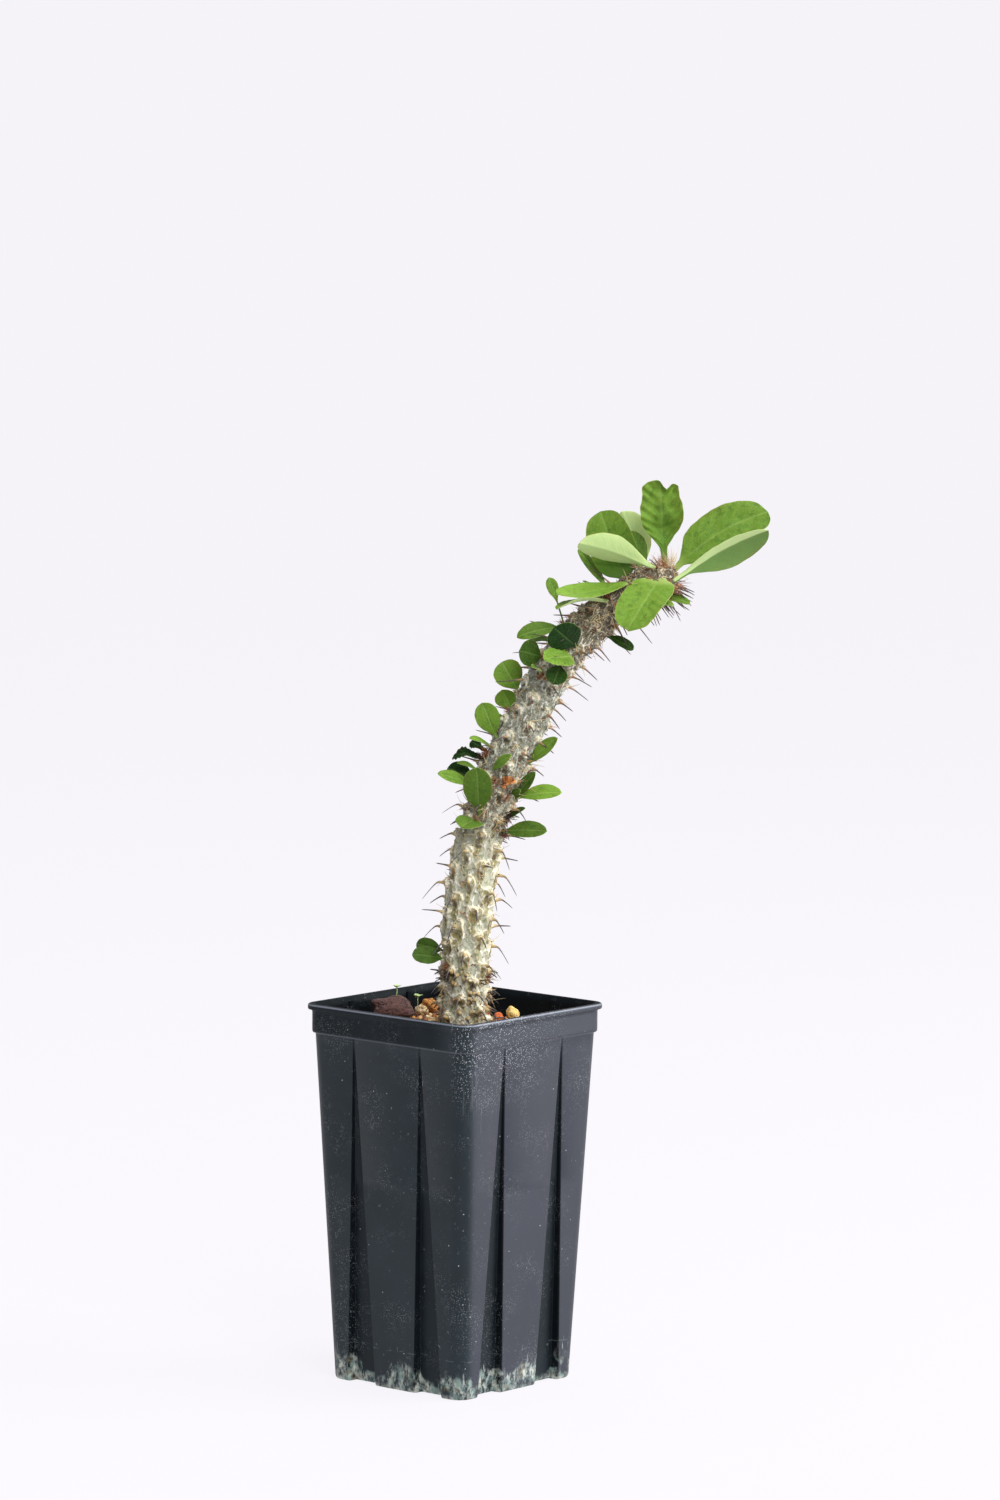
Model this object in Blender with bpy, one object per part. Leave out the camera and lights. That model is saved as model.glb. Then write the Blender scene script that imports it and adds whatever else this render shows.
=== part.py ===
"""Potted euphorbia: a square nursery pot, its gritty mix and stones, one leaning stem and its leaves.

Metres, +Z up. The origin is the middle of the pot's underside, and the pot's sides lie along X and Y.
The plant leans over one corner of the pot. Its own places are given in millimetres in a lean frame:
s along the lean, d across it (to the left of the lean) and z up, all from the origin.
"""

import math

import bmesh
import bpy
from mathutils import Matrix, Vector, noise

MM = 0.001
GAP = 0.3

# Pot, millimetres.
POT_HEIGHT = 157.0
LIP_HALF = 45.0
LIP_HEIGHT = 2.4
BAND_HALF = 43.7
BAND_HEIGHT = 12.0
BODY_TOP_HALF = 42.7
BASE_HALF = 36.2
CORNER_RADIUS = 6.8
BASE_BEVEL = 1.4
BAND_TAPER = 0.15
STEP_RISE = 0.5
LIP_EDGE = 0.5
WALL = 1.1
FLOOR = 1.6
CORNER_STEPS = 5
GROOVE_OFFSET = 18.0
GROOVE_WIDTH = 15.5
GROOVE_DEPTH = 4.0
GROOVE_SLANT = 0.7
GROOVE_TIP_WIDTH = 1.0
GROOVE_TIP_DEPTH = 0.15
DRAIN_RADIUS = 5.0
DRAIN_OFFSET = 19.0

# Mix in the pot, millimetres.
MIX_EDGE_Z = 144.0
MIX_MOUND = 5.0
MIX_MOUND_RADIUS = 24.0
MIX_LUMP = 1.0
MIX_RINGS = 7
SOCKET_DEPTH = 30.0
SOCKET_RADIUS = 10.4

# Stem, millimetres. The lean points from +X towards +Y.
LEAN_HEADING = math.radians(41.0)
STEM_PATH = [
    (2.0, 0.0, 118.0),
    (3.3, 0.0, 148.0),
    (4.3, 0.0, 179.0),
    (5.4, 0.0, 198.0),
    (8.2, 0.0, 219.0),
    (13.5, 0.5, 239.0),
    (20.0, 1.0, 256.0),
    (28.0, 1.5, 273.0),
    (36.0, 2.0, 290.0),
    (45.0, 2.5, 304.0),
    (56.0, 3.0, 315.5),
    (68.0, 3.5, 324.5),
    (80.0, 4.0, 331.0),
    (90.0, 4.5, 335.5),
]
SOIL_Z = 148.0
PATH_STEPS = 12
STEM_RINGS = 84
STEM_SIDES = 20
BURIED_RADIUS = 8.8
STEM_RADII = [(-30.0, 8.8), (0.0, 8.8), (55.0, 9.0), (78.0, 8.4), (106.0, 9.2), (135.0, 7.8), (206.0, 7.2)]
DOME_LENGTH = 14.0
TUBERCLE_PITCH = 1.45
TUBERCLE_TURN = math.radians(137.5)
TUBERCLE_LENGTH = 6.0
TUBERCLE_WIDTH = 3.6
TUBERCLE_HEIGHT = 1.8
TUBERCLE_START = 3.0

# Leaves: name, millimetres up the stem from the mix, degrees round it (0 along the lean, 90 to its
# right, 180 on its upper side), tip (s, d, z), width, the way the upper face looks (s, d, z),
# arch in millimetres, and fold as a share of the half width.
CROWN_LEAVES = [
    ("crown_leaf_right", 216, -85, (127, 14, 360), 20, (-35, -80, 50), 2, 0.15),
    ("crown_leaf_right_lower", 217, 60, (126, -12, 355), 17, (-15, 50, 85), 3, 0.25),
    ("crown_leaf_upright", 216, -150, (82, 3, 374), 18, (10, -99, 10), -2, 0.20),
    ("crown_leaf_left", 213, 145, (49, -13, 349), 18, (-10, 50, 85), 3, 0.20),
    ("crown_leaf_left_back", 210, -165, (66, 12, 351), 12, (-20, -60, 80), 1, 0.20),
    ("crown_leaf_pale", 206, -130, (67, 22, 359), 17, (30, 90, 20), 2, 0.15),
    ("crown_leaf_round", 197, -160, (58, 10, 360), 20, (-30, -90, 30), 2, 0.15),
    ("crown_leaf_hidden", 192, -140, (49, 14, 344), 8, (-20, -60, 80), 1, 0.15),
    ("crown_leaf_drooping", 213, 100, (69, -22, 314), 19, (-35, -75, 55), 3, 0.15),
    ("crown_leaf_long", 204, 140, (40, -14, 328), 15, (-10, -35, 93), 3, 0.15),
]
SMALL_LEAVES = [
    ("upper_leaf_1", 190, 120, (40, -15, 322), 11, (0, 20, 97), 2, 0.2),
    ("upper_leaf_2", 170, -172, (37, 5, 333), 7, (20, -90, 10), 1, 0.2),
    ("upper_leaf_3", 187, -172, (51, 4, 332), 6, (0, 10, 99), 1, 0.2),
    ("upper_leaf_4", 209, -10, (95, 1, 323), 5, (0, -60, 80), 1, 0.2),
    ("upper_leaf_5", 203, 28, (88, -6, 323), 4, (0, -60, 80), 1, 0.2),
    ("upper_leaf_6", 179, 0, (72, 1, 304), 6, (30, -80, 50), 1, 0.2),
    ("upper_leaf_7", 170, 165, (24, -3, 309), 8, (-20, -70, 60), 2, 0.2),
    ("upper_leaf_8", 163, -170, (29, 7, 307), 5, (0, -60, 80), 1, 0.2),
    ("upper_leaf_9", 168, 65, (39, -20, 315), 14, (-20, -95, 20), 1, 0.1),
    ("upper_leaf_10", 163, 58, (35, -22, 302), 7, (10, -70, 70), 1, 0.1),
    ("upper_leaf_11", 156, 150, (25, -8, 304), 11, (-30, -90, 30), 1, 0.1),
    ("upper_leaf_12", 158, 80, (39, -14, 291), 9, (0, -90, 40), 1, 0.1),
    ("upper_leaf_13", 150, 118, (30, -12, 298), 4, (0, -60, 80), 1, 0.2),
    ("upper_leaf_14", 139, -172, (18, 5, 298), 12, (-10, -98, 10), 1, 0.1),
    ("upper_leaf_15", 131, 174, (18, -1, 287), 9, (-30, -90, 30), -2, 0.5),
    ("middle_leaf_1", 118, 165, (10, -5, 282), 10, (-10, -98, 10), 1, 0.1),
    ("middle_leaf_2", 121, -168, (17, 2, 277), 4, (-10, -98, 10), 1, 0.2),
    ("middle_leaf_3", 114, 158, (5, -9, 268), 4, (0, -50, 85), 1, 0.2),
    ("middle_leaf_4", 109, 178, (-2, -1, 259), 4, (0, -50, 85), 1, 0.4),
    ("middle_leaf_5", 112, -165, (5, 6, 264), 4, (0, -50, 85), 1, 0.4),
    ("middle_leaf_6", 103, 178, (0, -1, 257), 3, (0, -50, 85), 1, 0.2),
    ("middle_leaf_7", 99, -168, (-4, 4, 254), 9, (-10, -85, 50), 1, 0.1),
    ("middle_leaf_8", 97, 165, (-8, -7, 253), 6, (0, -70, 70), 1, 0.2),
    ("middle_leaf_9", 90, 110, (8, -19, 257), 12, (-10, -98, 15), 1, 0.1),
    ("middle_leaf_10", 85, 118, (3, -17, 231), 8, (-20, -80, 60), 1, 0.1),
    ("middle_leaf_11", 106, 108, (22, -16, 262), 4, (-20, -90, 30), 1, 0.2),
    ("middle_leaf_12", 113, 15, (41, -6, 268), 6, (-40, -80, 30), 1, 0.2),
    ("middle_leaf_13", 96, 12, (32, -8, 254), 5, (-30, -90, 10), 1, 0.2),
    ("middle_leaf_14", 100, 45, (26, -13, 247), 3, (0, -98, 10), 0, 0.2),
    ("middle_leaf_15", 98, -5, (43, -2, 245), 7, (-20, -60, 75), 1, 0.2),
    ("middle_leaf_16", 83, 28, (37, -10, 230), 8, (0, -80, 60), 1, 0.2),
    ("middle_leaf_17", 88, 5, (28, -6, 239), 3, (0, -80, 60), 1, 0.2),
    ("dried_bract", 101, 68, (24, -14, 251), 4, (0, -80, 60), 2, 0.5),
    ("lower_leaf_1", 27, 165, (-20, -7, 178), 8, (-20, -85, 50), 1, 0.1),
    ("lower_leaf_2", 30, -175, (-16, 3, 182), 7, (-20, -85, 50), 1, 0.1),
]
LEAF_THICKNESS = 0.8
STALK_WIDTH = 1.3
STALK_SHARE = 0.16
LEAF_CLEARANCE = 0.5
CROWN_STATIONS = 9
CROWN_LANES = 5
SMALL_STATIONS = 6
SMALL_LANES = 3

# Stones on the mix: name, (s, d), size (s, d, z), seed, material.
STONES = [
    ("lava_rock", (-26.0, 16.0), (17.5, 14.0, 9.5), 3, "lava"),
    ("pumice_gold_large", (-11.0, 34.0), (7.0, 6.0, 6.0), 5, "pumice_gold"),
    ("pumice_gold_small", (-4.0, 29.0), (5.0, 4.5, 4.5), 8, "pumice_gold"),
    ("pumice_tan", (-14.0, 25.0), (5.0, 4.5, 4.0), 13, "pumice_tan"),
    ("pumice_yellow", (24.0, 21.0), (5.5, 5.0, 6.0), 21, "pumice_yellow"),
    ("grit_orange_large", (18.0, 13.0), (4.5, 4.0, 3.6), 34, "grit_orange"),
    ("grit_orange_small", (12.5, 19.0), (4.0, 3.5, 3.4), 55, "grit_orange"),
    ("grit_red", (-36.0, 5.0), (4.0, 3.6, 3.2), 89, "grit_orange"),
]
SEEDLINGS = [
    ("seedling_left", (-24.5, 16.5), 3.0, 2.2),
    ("seedling_right", (-16.0, 33.5), 7.0, 2.4),
]

# Colour, roughness and metallic value of each material.
PALETTE = {
    "pot_plastic": ((0.035, 0.042, 0.050), 0.45, 0.0),
    "mix": ((0.16, 0.10, 0.06), 0.95, 0.0),
    "stem": ((0.52, 0.50, 0.38), 0.80, 0.0),
    "leaf": ((0.20, 0.40, 0.07), 0.45, 0.0),
    "leaf_dark": ((0.05, 0.20, 0.04), 0.45, 0.0),
    "dried": ((0.45, 0.20, 0.06), 0.85, 0.0),
    "lava": ((0.13, 0.07, 0.06), 0.95, 0.0),
    "pumice_gold": ((0.62, 0.36, 0.12), 0.90, 0.0),
    "pumice_tan": ((0.55, 0.42, 0.28), 0.90, 0.0),
    "pumice_yellow": ((0.70, 0.55, 0.24), 0.90, 0.0),
    "grit_orange": ((0.60, 0.22, 0.07), 0.90, 0.0),
    "seedling": ((0.45, 0.60, 0.22), 0.60, 0.0),
}


def clear_scene():
    for obj in list(bpy.data.objects):
        bpy.data.objects.remove(obj, do_unlink=True)


def material(name, kind):
    colour, roughness, metallic = PALETTE[kind]
    made = bpy.data.materials.new(f"{name}_material")
    made.use_nodes = True
    shader = made.node_tree.nodes["Principled BSDF"]
    shader.inputs["Base Color"].default_value = (*colour, 1.0)
    shader.inputs["Roughness"].default_value = roughness
    shader.inputs["Metallic"].default_value = metallic
    made.diffuse_color = (*colour, 1.0)
    return made


def place(name, shape, kind, smooth_angle=50.0):
    """Makes a bmesh in millimetres one named object in metres, with its faces pointing out."""
    bmesh.ops.recalc_face_normals(shape, faces=shape.faces)
    if shape.calc_volume(signed=True) < 0:
        bmesh.ops.reverse_faces(shape, faces=shape.faces)
    bmesh.ops.scale(shape, vec=(MM, MM, MM), verts=shape.verts)
    mesh = bpy.data.meshes.new(name)
    shape.to_mesh(mesh)
    shape.free()
    mesh.shade_smooth()
    mesh.set_sharp_from_angle(angle=math.radians(smooth_angle))
    mesh.materials.append(material(name, kind))
    obj = bpy.data.objects.new(name, mesh)
    bpy.context.scene.collection.objects.link(obj)
    return obj


def to_row(point):
    """A point (s, d, z) of the lean frame, in the object's own frame."""
    s, d, z = point
    cos, sin = math.cos(LEAN_HEADING), math.sin(LEAN_HEADING)
    return Vector((s * cos - d * sin, s * sin + d * cos, z))


def loft(shape, rings):
    """Joins rings of equal point counts into a closed skin.

    Each four-sided patch is split from its lower ring's point to its upper ring's next one, so that
    two skins through neighbouring rings stay the same distance apart.
    """
    rows = [[shape.verts.new(point) for point in ring] for ring in rings]
    count = len(rows[0])
    for here, there in zip(rows, rows[1:]):
        rising = here[0].co.z <= there[0].co.z
        for i in range(count):
            j = (i + 1) % count
            if rising:
                shape.faces.new((here[i], here[j], there[j]))
                shape.faces.new((here[i], there[j], there[i]))
            else:
                shape.faces.new((here[i], here[j], there[i]))
                shape.faces.new((here[j], there[j], there[i]))
    shape.faces.new(rows[0][::-1])
    shape.faces.new(rows[-1])


# ---------------------------------------------------------------- pot


def pot_outline(half, radius, z, groove_share=None, wall_shift=0.0):
    """One ring of the pot: a square with round corners and two grooves in each side.

    groove_share runs from 0 at a groove's tip to 1 at the base, and is None above the grooves;
    wall_shift widens a groove's back on the inner skin.
    """
    share = groove_share or 0.0
    width = GROOVE_TIP_WIDTH + (GROOVE_WIDTH - GROOVE_TIP_WIDTH) * share + 2 * wall_shift
    depth = GROOVE_TIP_DEPTH + (GROOVE_DEPTH - GROOVE_TIP_DEPTH) * share**0.6
    if groove_share is None:
        depth = 0.0
    slant = min(GROOVE_SLANT, width / 4)
    straight = []
    for middle in (-GROOVE_OFFSET, GROOVE_OFFSET):
        straight += [
            (middle - width / 2, half),
            (middle - width / 2 + slant, half - depth),
            (middle + width / 2 - slant, half - depth),
            (middle + width / 2, half),
        ]
    centre = half - radius
    corner = []
    for step in range(CORNER_STEPS):
        angle = math.pi / 2 * step / (CORNER_STEPS - 1)
        corner.append((centre + radius * math.sin(angle), centre + radius * math.cos(angle)))
    ring = []
    for side in range(4):
        turn = -math.pi / 2 * side
        for x, y in straight + corner:
            ring.append(
                (x * math.cos(turn) - y * math.sin(turn), x * math.sin(turn) + y * math.cos(turn), z)
            )
    return ring


def body_half(z):
    """Half width of the pot's body at a height."""
    share = z / (POT_HEIGHT - BAND_HEIGHT)
    return BASE_HALF + (BODY_TOP_HALF - BASE_HALF) * share


def groove_at(z):
    return max(0.0, 1.0 - z / (POT_HEIGHT - BAND_HEIGHT))


def inner_ring(z, gap=0.0):
    half = body_half(min(z, POT_HEIGHT - BAND_HEIGHT)) - WALL - gap
    return pot_outline(half, CORNER_RADIUS - WALL - gap, z, groove_at(z), WALL * 0.8 + gap)


def build_pot():
    band_z = POT_HEIGHT - BAND_HEIGHT
    lip_z = POT_HEIGHT - LIP_HEIGHT
    rings = [
        pot_outline(BASE_HALF - BASE_BEVEL, CORNER_RADIUS - BASE_BEVEL, 0.0, 1.0),
        pot_outline(body_half(BASE_BEVEL), CORNER_RADIUS, BASE_BEVEL, groove_at(BASE_BEVEL)),
        pot_outline(BODY_TOP_HALF, CORNER_RADIUS, band_z, 0.0),
        pot_outline(BAND_HALF - BAND_TAPER, CORNER_RADIUS, band_z + STEP_RISE),
        pot_outline(BAND_HALF, CORNER_RADIUS, lip_z - STEP_RISE),
        pot_outline(LIP_HALF, CORNER_RADIUS, lip_z),
        pot_outline(LIP_HALF, CORNER_RADIUS, POT_HEIGHT - LIP_EDGE),
        pot_outline(LIP_HALF - LIP_EDGE, CORNER_RADIUS - LIP_EDGE, POT_HEIGHT),
        pot_outline(BAND_HALF - WALL, CORNER_RADIUS - WALL, POT_HEIGHT),
        inner_ring(band_z),
        inner_ring(FLOOR),
    ]
    shape = bmesh.new()
    loft(shape, rings)
    pot = place("pot", shape, "pot_plastic", 30.0)
    for index, (x, y) in enumerate(((1, 1), (1, -1), (-1, 1), (-1, -1))):
        cutter_shape = bmesh.new()
        bmesh.ops.create_cone(
            cutter_shape,
            cap_ends=True,
            segments=16,
            radius1=DRAIN_RADIUS * MM,
            radius2=DRAIN_RADIUS * MM,
            depth=4 * FLOOR * MM,
        )
        mesh = bpy.data.meshes.new(f"drain_cutter_{index}")
        cutter_shape.to_mesh(mesh)
        cutter_shape.free()
        cutter = bpy.data.objects.new(f"drain_cutter_{index}", mesh)
        cutter.location = (x * DRAIN_OFFSET * MM, y * DRAIN_OFFSET * MM, 0.0)
        cutter.hide_render = True
        cutter.display_type = "WIRE"
        bpy.context.scene.collection.objects.link(cutter)
        hole = pot.modifiers.new(f"drain_hole_{index}", "BOOLEAN")
        hole.operation = "DIFFERENCE"
        hole.solver = "EXACT"
        hole.object = cutter


# ---------------------------------------------------------------- mix


def mix_height(x, y):
    """Height of the mix: a mound round the stem, a bank towards the back and small lumps."""
    foot = to_row((3.0, 0.0, 0.0))
    bank = to_row((-8.0, 28.0, 0.0))
    mound = math.exp(-((x - foot.x) ** 2 + (y - foot.y) ** 2) / MIX_MOUND_RADIUS**2)
    back = math.exp(-((x - bank.x) ** 2 + (y - bank.y) ** 2) / 20.0**2)
    lumps = noise.noise(Vector((x * 0.16, y * 0.16, 7.0)))
    return MIX_EDGE_Z + MIX_MOUND * mound + 2.5 * back + MIX_LUMP * lumps


def build_mix():
    foot = to_row((*STEM_PATH[0][:2], 0.0))
    neck = to_row((*STEM_PATH[1][:2], 0.0))
    outer = inner_ring(MIX_EDGE_Z, GAP)
    angles = [math.atan2(point[1] - neck.y, point[0] - neck.x) for point in outer]
    rings = [inner_ring(FLOOR + GAP, GAP)]
    for step in range(MIX_RINGS + 1):
        share = step / MIX_RINGS
        ring = []
        for point, angle in zip(outer, angles):
            near_x = neck.x + SOCKET_RADIUS * math.cos(angle)
            near_y = neck.y + SOCKET_RADIUS * math.sin(angle)
            x = point[0] + (near_x - point[0]) * share
            y = point[1] + (near_y - point[1]) * share
            z = MIX_EDGE_Z if step == 0 else mix_height(x, y)
            ring.append((x, y, z))
        rings.append(ring)
    socket_z = SOIL_Z - SOCKET_DEPTH - GAP
    rings.append(
        [
            (foot.x + SOCKET_RADIUS * math.cos(a), foot.y + SOCKET_RADIUS * math.sin(a), socket_z)
            for a in angles
        ]
    )
    shape = bmesh.new()
    loft(shape, rings)
    place("potting_mix", shape, "mix", 60.0)


def stone_shape(size, seed):
    shape = bmesh.new()
    bmesh.ops.create_icosphere(shape, subdivisions=2, radius=0.5)
    for vertex in shape.verts:
        bump = 1.0 + 0.34 * noise.noise(vertex.co * 2.6 + Vector((seed, 0.0, 0.0)))
        vertex.co = Vector([part * bump * side for part, side in zip(vertex.co, size)])
    return shape


def build_stones():
    for name, (s, d), size, seed, kind in STONES:
        shape = stone_shape(size, seed)
        centre = to_row((s, d, 0.0))
        reach = max(size) / 2
        steps = [reach * part / 2 for part in (-2, -1, 0, 1, 2)]
        top = max(mix_height(centre.x + x, centre.y + y) for x in steps for y in steps)
        low = min(vertex.co.z for vertex in shape.verts)
        spot = Vector((centre.x, centre.y, top + 2 * GAP - low))
        bmesh.ops.rotate(shape, matrix=Matrix.Rotation(LEAN_HEADING, 3, "Z"), verts=shape.verts)
        bmesh.ops.translate(shape, vec=spot, verts=shape.verts)
        place(name, shape, kind, 35.0)


def build_seedlings():
    """Each is one thin stalk that opens into a three-lobed leaf."""
    for name, (s, d), height, reach in SEEDLINGS:
        foot = to_row((s, d, 0.0))
        low_z = stalk_foot(name, foot)
        top_z = low_z + height
        rings = []
        profile = [
            (0.35, low_z),
            (0.30, top_z - 1.2),
            (reach * 0.9, top_z - 0.3),
            (reach, top_z),
            (0.5, top_z - 0.2),
        ]
        for index, (radius, z) in enumerate(profile):
            ring = []
            for step in range(12):
                angle = math.tau * step / 12
                lobe = 0.55 + 0.45 * abs(math.cos(1.5 * angle)) if index in (2, 3) else 1.0
                ring.append((foot.x + radius * lobe * math.cos(angle), foot.y + radius * lobe * math.sin(angle), z))
            rings.append(ring)
        shape = bmesh.new()
        loft(shape, rings)
        place(name, shape, "seedling")


def stalk_foot(name, foot):
    """A seedling's stalk starts just over what it grows on: the rock's crown or the mix."""
    if name == "seedling_left":
        rock = bpy.data.objects["lava_rock"]
        near = [
            v.co.z / MM
            for v in rock.data.vertices
            if math.hypot(v.co.x / MM - foot.x, v.co.y / MM - foot.y) < 6.0
        ]
        return max(near) + GAP
    return mix_height(foot.x, foot.y) + 2 * GAP


# ---------------------------------------------------------------- stem


def smooth_path(points, steps):
    """A Catmull-Rom curve through the points."""
    points = [Vector(p) for p in points]
    ends = [2 * points[0] - points[1], *points, 2 * points[-1] - points[-2]]
    path = []
    for a, b, c, d in zip(ends, ends[1:], ends[2:], ends[3:]):
        for step in range(steps):
            t = step / steps
            path.append(
                0.5 * (2 * b + (c - a) * t + (2 * a - 5 * b + 4 * c - d) * t**2 + (3 * b - a - 3 * c + d) * t**3)
            )
    path.append(points[-1])
    return path


class Stem:
    """The stem's centre line and surface. Distances along it start at the mix's surface."""

    def __init__(self):
        self.path = smooth_path(STEM_PATH, PATH_STEPS)
        self.along = [0.0]
        for here, there in zip(self.path, self.path[1:]):
            self.along.append(self.along[-1] + (there - here).length)
        below = next(a for a, p in zip(self.along, self.path) if p.z >= SOIL_Z)
        self.along = [a - below for a in self.along]
        self.length = self.along[-1]
        self.tubercles = []
        k = 0
        while TUBERCLE_START + k * TUBERCLE_PITCH < self.length - 4:
            self.tubercles.append((TUBERCLE_START + k * TUBERCLE_PITCH, k * TUBERCLE_TURN))
            k += 1

    def frame(self, along):
        """Centre, right-hand normal, near normal and direction at a distance along the stem."""
        i = 1
        while i < len(self.path) - 1 and self.along[i] < along:
            i += 1
        t = (along - self.along[i - 1]) / (self.along[i] - self.along[i - 1])
        centre = self.path[i - 1].lerp(self.path[i], t)
        before = self.path[max(i - 2, 0)]
        after = self.path[min(i + 1, len(self.path) - 1)]
        direction = (after - before).normalized()
        right = direction.cross(Vector((0, -1, 0))).normalized()
        near = right.cross(direction).normalized()
        return centre, right, near, direction

    def radius(self, along, turn):
        for (a, r), (b, q) in zip(STEM_RADII, STEM_RADII[1:]):
            if along <= b:
                core = r + (q - r) * max(0.0, along - a) / (b - a)
                break
        else:
            core = STEM_RADII[-1][1]
        dome_start = self.length - DOME_LENGTH
        if along > dome_start:
            core *= math.sqrt(max(0.0, 1.0 - ((along - dome_start) / DOME_LENGTH) ** 2))
        lift = 0.0
        for height, angle in self.tubercles:
            off = abs(height - along) / TUBERCLE_LENGTH
            if off >= 1.0:
                continue
            gap = (turn - angle + math.pi) % math.tau - math.pi
            across = gap * core / TUBERCLE_WIDTH
            reach = off * off + across * across
            if reach < 1.0:
                lift = max(lift, (1.0 - reach) ** 1.3)
        return core + TUBERCLE_HEIGHT * lift * min(1.0, core / 5.0)

    def surface(self, along, turn, off=0.0):
        """A point of the surface and the way out of it there. Turn 0 is right, 90 degrees is near."""
        centre, right, near, _ = self.frame(along)
        out = right * math.cos(turn) + near * math.sin(turn)
        return centre + out * (self.radius(along, turn) + off), out


def build_stem(stem):
    start = -SOCKET_DEPTH + GAP
    buried = [start, -12.0, -1.0]
    step = (stem.length - 1.2) / STEM_RINGS
    heights = buried + [step * (i + 0.5) for i in range(STEM_RINGS)] + [stem.length - 0.5]
    rings = []
    for along in heights:
        centre, right, near, _ = stem.frame(along)
        ring = []
        for side in range(STEM_SIDES):
            turn = math.tau * side / STEM_SIDES
            reach = BURIED_RADIUS if along < 0 else stem.radius(along, turn)
            ring.append(to_row(centre + (right * math.cos(turn) + near * math.sin(turn)) * reach))
        rings.append(ring)
    shape = bmesh.new()
    loft(shape, rings)
    place("stem", shape, "stem", 45.0)


# ---------------------------------------------------------------- leaves


def leaf_half_width(share, width):
    """Half width along a leaf: a narrow stalk, then a blade widest past its middle with a round tip."""
    stalk = STALK_WIDTH / 2
    if share <= STALK_SHARE:
        return stalk
    u = (share - STALK_SHARE) / (1 - STALK_SHARE)
    return max(stalk * (1 - u * 0.3), width / 2 * math.sin(math.pi * u**1.7) ** 0.6)


def leaf_shape(foot, tip, width, face, arch, fold, stations, lanes):
    axis = tip - foot
    ahead = axis.normalized()
    up = (face - ahead * face.dot(ahead)).normalized()
    side = ahead.cross(up)
    shape = bmesh.new()
    tops, bottoms = [], []
    shares = [0.0, STALK_SHARE] + [
        STALK_SHARE + (1 - STALK_SHARE) * (i / (stations - 2)) for i in range(1, stations - 1)
    ]
    shares[-1] = 0.99
    shares.insert(-1, 0.955)
    for share in shares:
        middle = foot + axis * share + up * (arch * 4 * share * (1 - share))
        half = leaf_half_width(share, width)
        top_row, bottom_row = [], []
        for lane in range(lanes):
            v = 2 * lane / (lanes - 1) - 1
            point = middle + side * (v * half) + up * (fold * half * abs(v))
            top_row.append(shape.verts.new(to_row(point + up * (LEAF_THICKNESS / 2))))
            bottom_row.append(shape.verts.new(to_row(point - up * (LEAF_THICKNESS / 2))))
        tops.append(top_row)
        bottoms.append(bottom_row)
    rows = range(len(tops) - 1)
    for i in rows:
        for j in range(lanes - 1):
            shape.faces.new((tops[i][j], tops[i][j + 1], tops[i + 1][j + 1], tops[i + 1][j]))
            shape.faces.new((bottoms[i][j], bottoms[i + 1][j], bottoms[i + 1][j + 1], bottoms[i][j + 1]))
        for j in (0, lanes - 1):
            shape.faces.new((tops[i][j], tops[i + 1][j], bottoms[i + 1][j], bottoms[i][j]))
    for end in (0, -1):
        for j in range(lanes - 1):
            shape.faces.new((tops[end][j], bottoms[end][j], bottoms[end][j + 1], tops[end][j + 1]))
    return shape


def build_leaves(stem):
    dark = {"upper_leaf_6", "upper_leaf_9", "upper_leaf_11", "upper_leaf_12", "middle_leaf_7"}
    for table, stations, lanes in (
        (CROWN_LEAVES, CROWN_STATIONS, CROWN_LANES),
        (SMALL_LEAVES, SMALL_STATIONS, SMALL_LANES),
    ):
        for name, along, turn, tip, width, face, arch, fold in table:
            foot, _ = stem.surface(along, math.radians(turn), LEAF_CLEARANCE + LEAF_THICKNESS / 2)
            shape = leaf_shape(foot, Vector(tip), width, Vector(face), arch, fold, stations, lanes)
            kind = "dried" if name == "dried_bract" else "leaf_dark" if name in dark else "leaf"
            place(name, shape, kind, 60.0)


def main():
    clear_scene()
    stem = Stem()
    build_pot()
    build_mix()
    build_stones()
    build_seedlings()
    build_stem(stem)
    build_leaves(stem)


main()
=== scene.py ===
import math
import random

import bmesh
import bpy
import numpy as np
from mathutils import Matrix, Vector, noise


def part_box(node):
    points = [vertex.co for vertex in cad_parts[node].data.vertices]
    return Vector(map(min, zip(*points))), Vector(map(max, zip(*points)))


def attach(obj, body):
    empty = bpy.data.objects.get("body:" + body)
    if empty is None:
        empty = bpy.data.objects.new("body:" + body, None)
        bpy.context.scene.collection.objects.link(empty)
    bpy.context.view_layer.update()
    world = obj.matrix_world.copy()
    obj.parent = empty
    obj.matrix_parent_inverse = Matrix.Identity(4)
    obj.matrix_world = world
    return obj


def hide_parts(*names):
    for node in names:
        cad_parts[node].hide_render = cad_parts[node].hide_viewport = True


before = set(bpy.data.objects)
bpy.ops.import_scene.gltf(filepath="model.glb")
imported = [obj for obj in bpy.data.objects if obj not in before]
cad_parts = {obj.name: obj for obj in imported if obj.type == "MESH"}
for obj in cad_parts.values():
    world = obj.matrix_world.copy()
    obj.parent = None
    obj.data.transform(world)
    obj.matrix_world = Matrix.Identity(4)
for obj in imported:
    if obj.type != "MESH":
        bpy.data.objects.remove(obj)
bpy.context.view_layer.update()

bl_info = {
    "name": "Potted Euphorbia",
    "version": (1, 0, 0),
    "blender": (4, 5, 0),
    "location": "3D View > Sidebar > Potted plant",
    "description": "A square nursery pot, its gritty mix and a leaning spiny euphorbia in leaf",
    "category": "Add Mesh",
}

# Lengths in the tables are millimetres, in the lean frame (s along the lean, d across it, z up)
# or in the pot's own frame (x, y, z); both start from the middle of the pot's underside.
MM = 0.001
BODY = "root"

# ---------------------------------------------------------------- sizes

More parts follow.
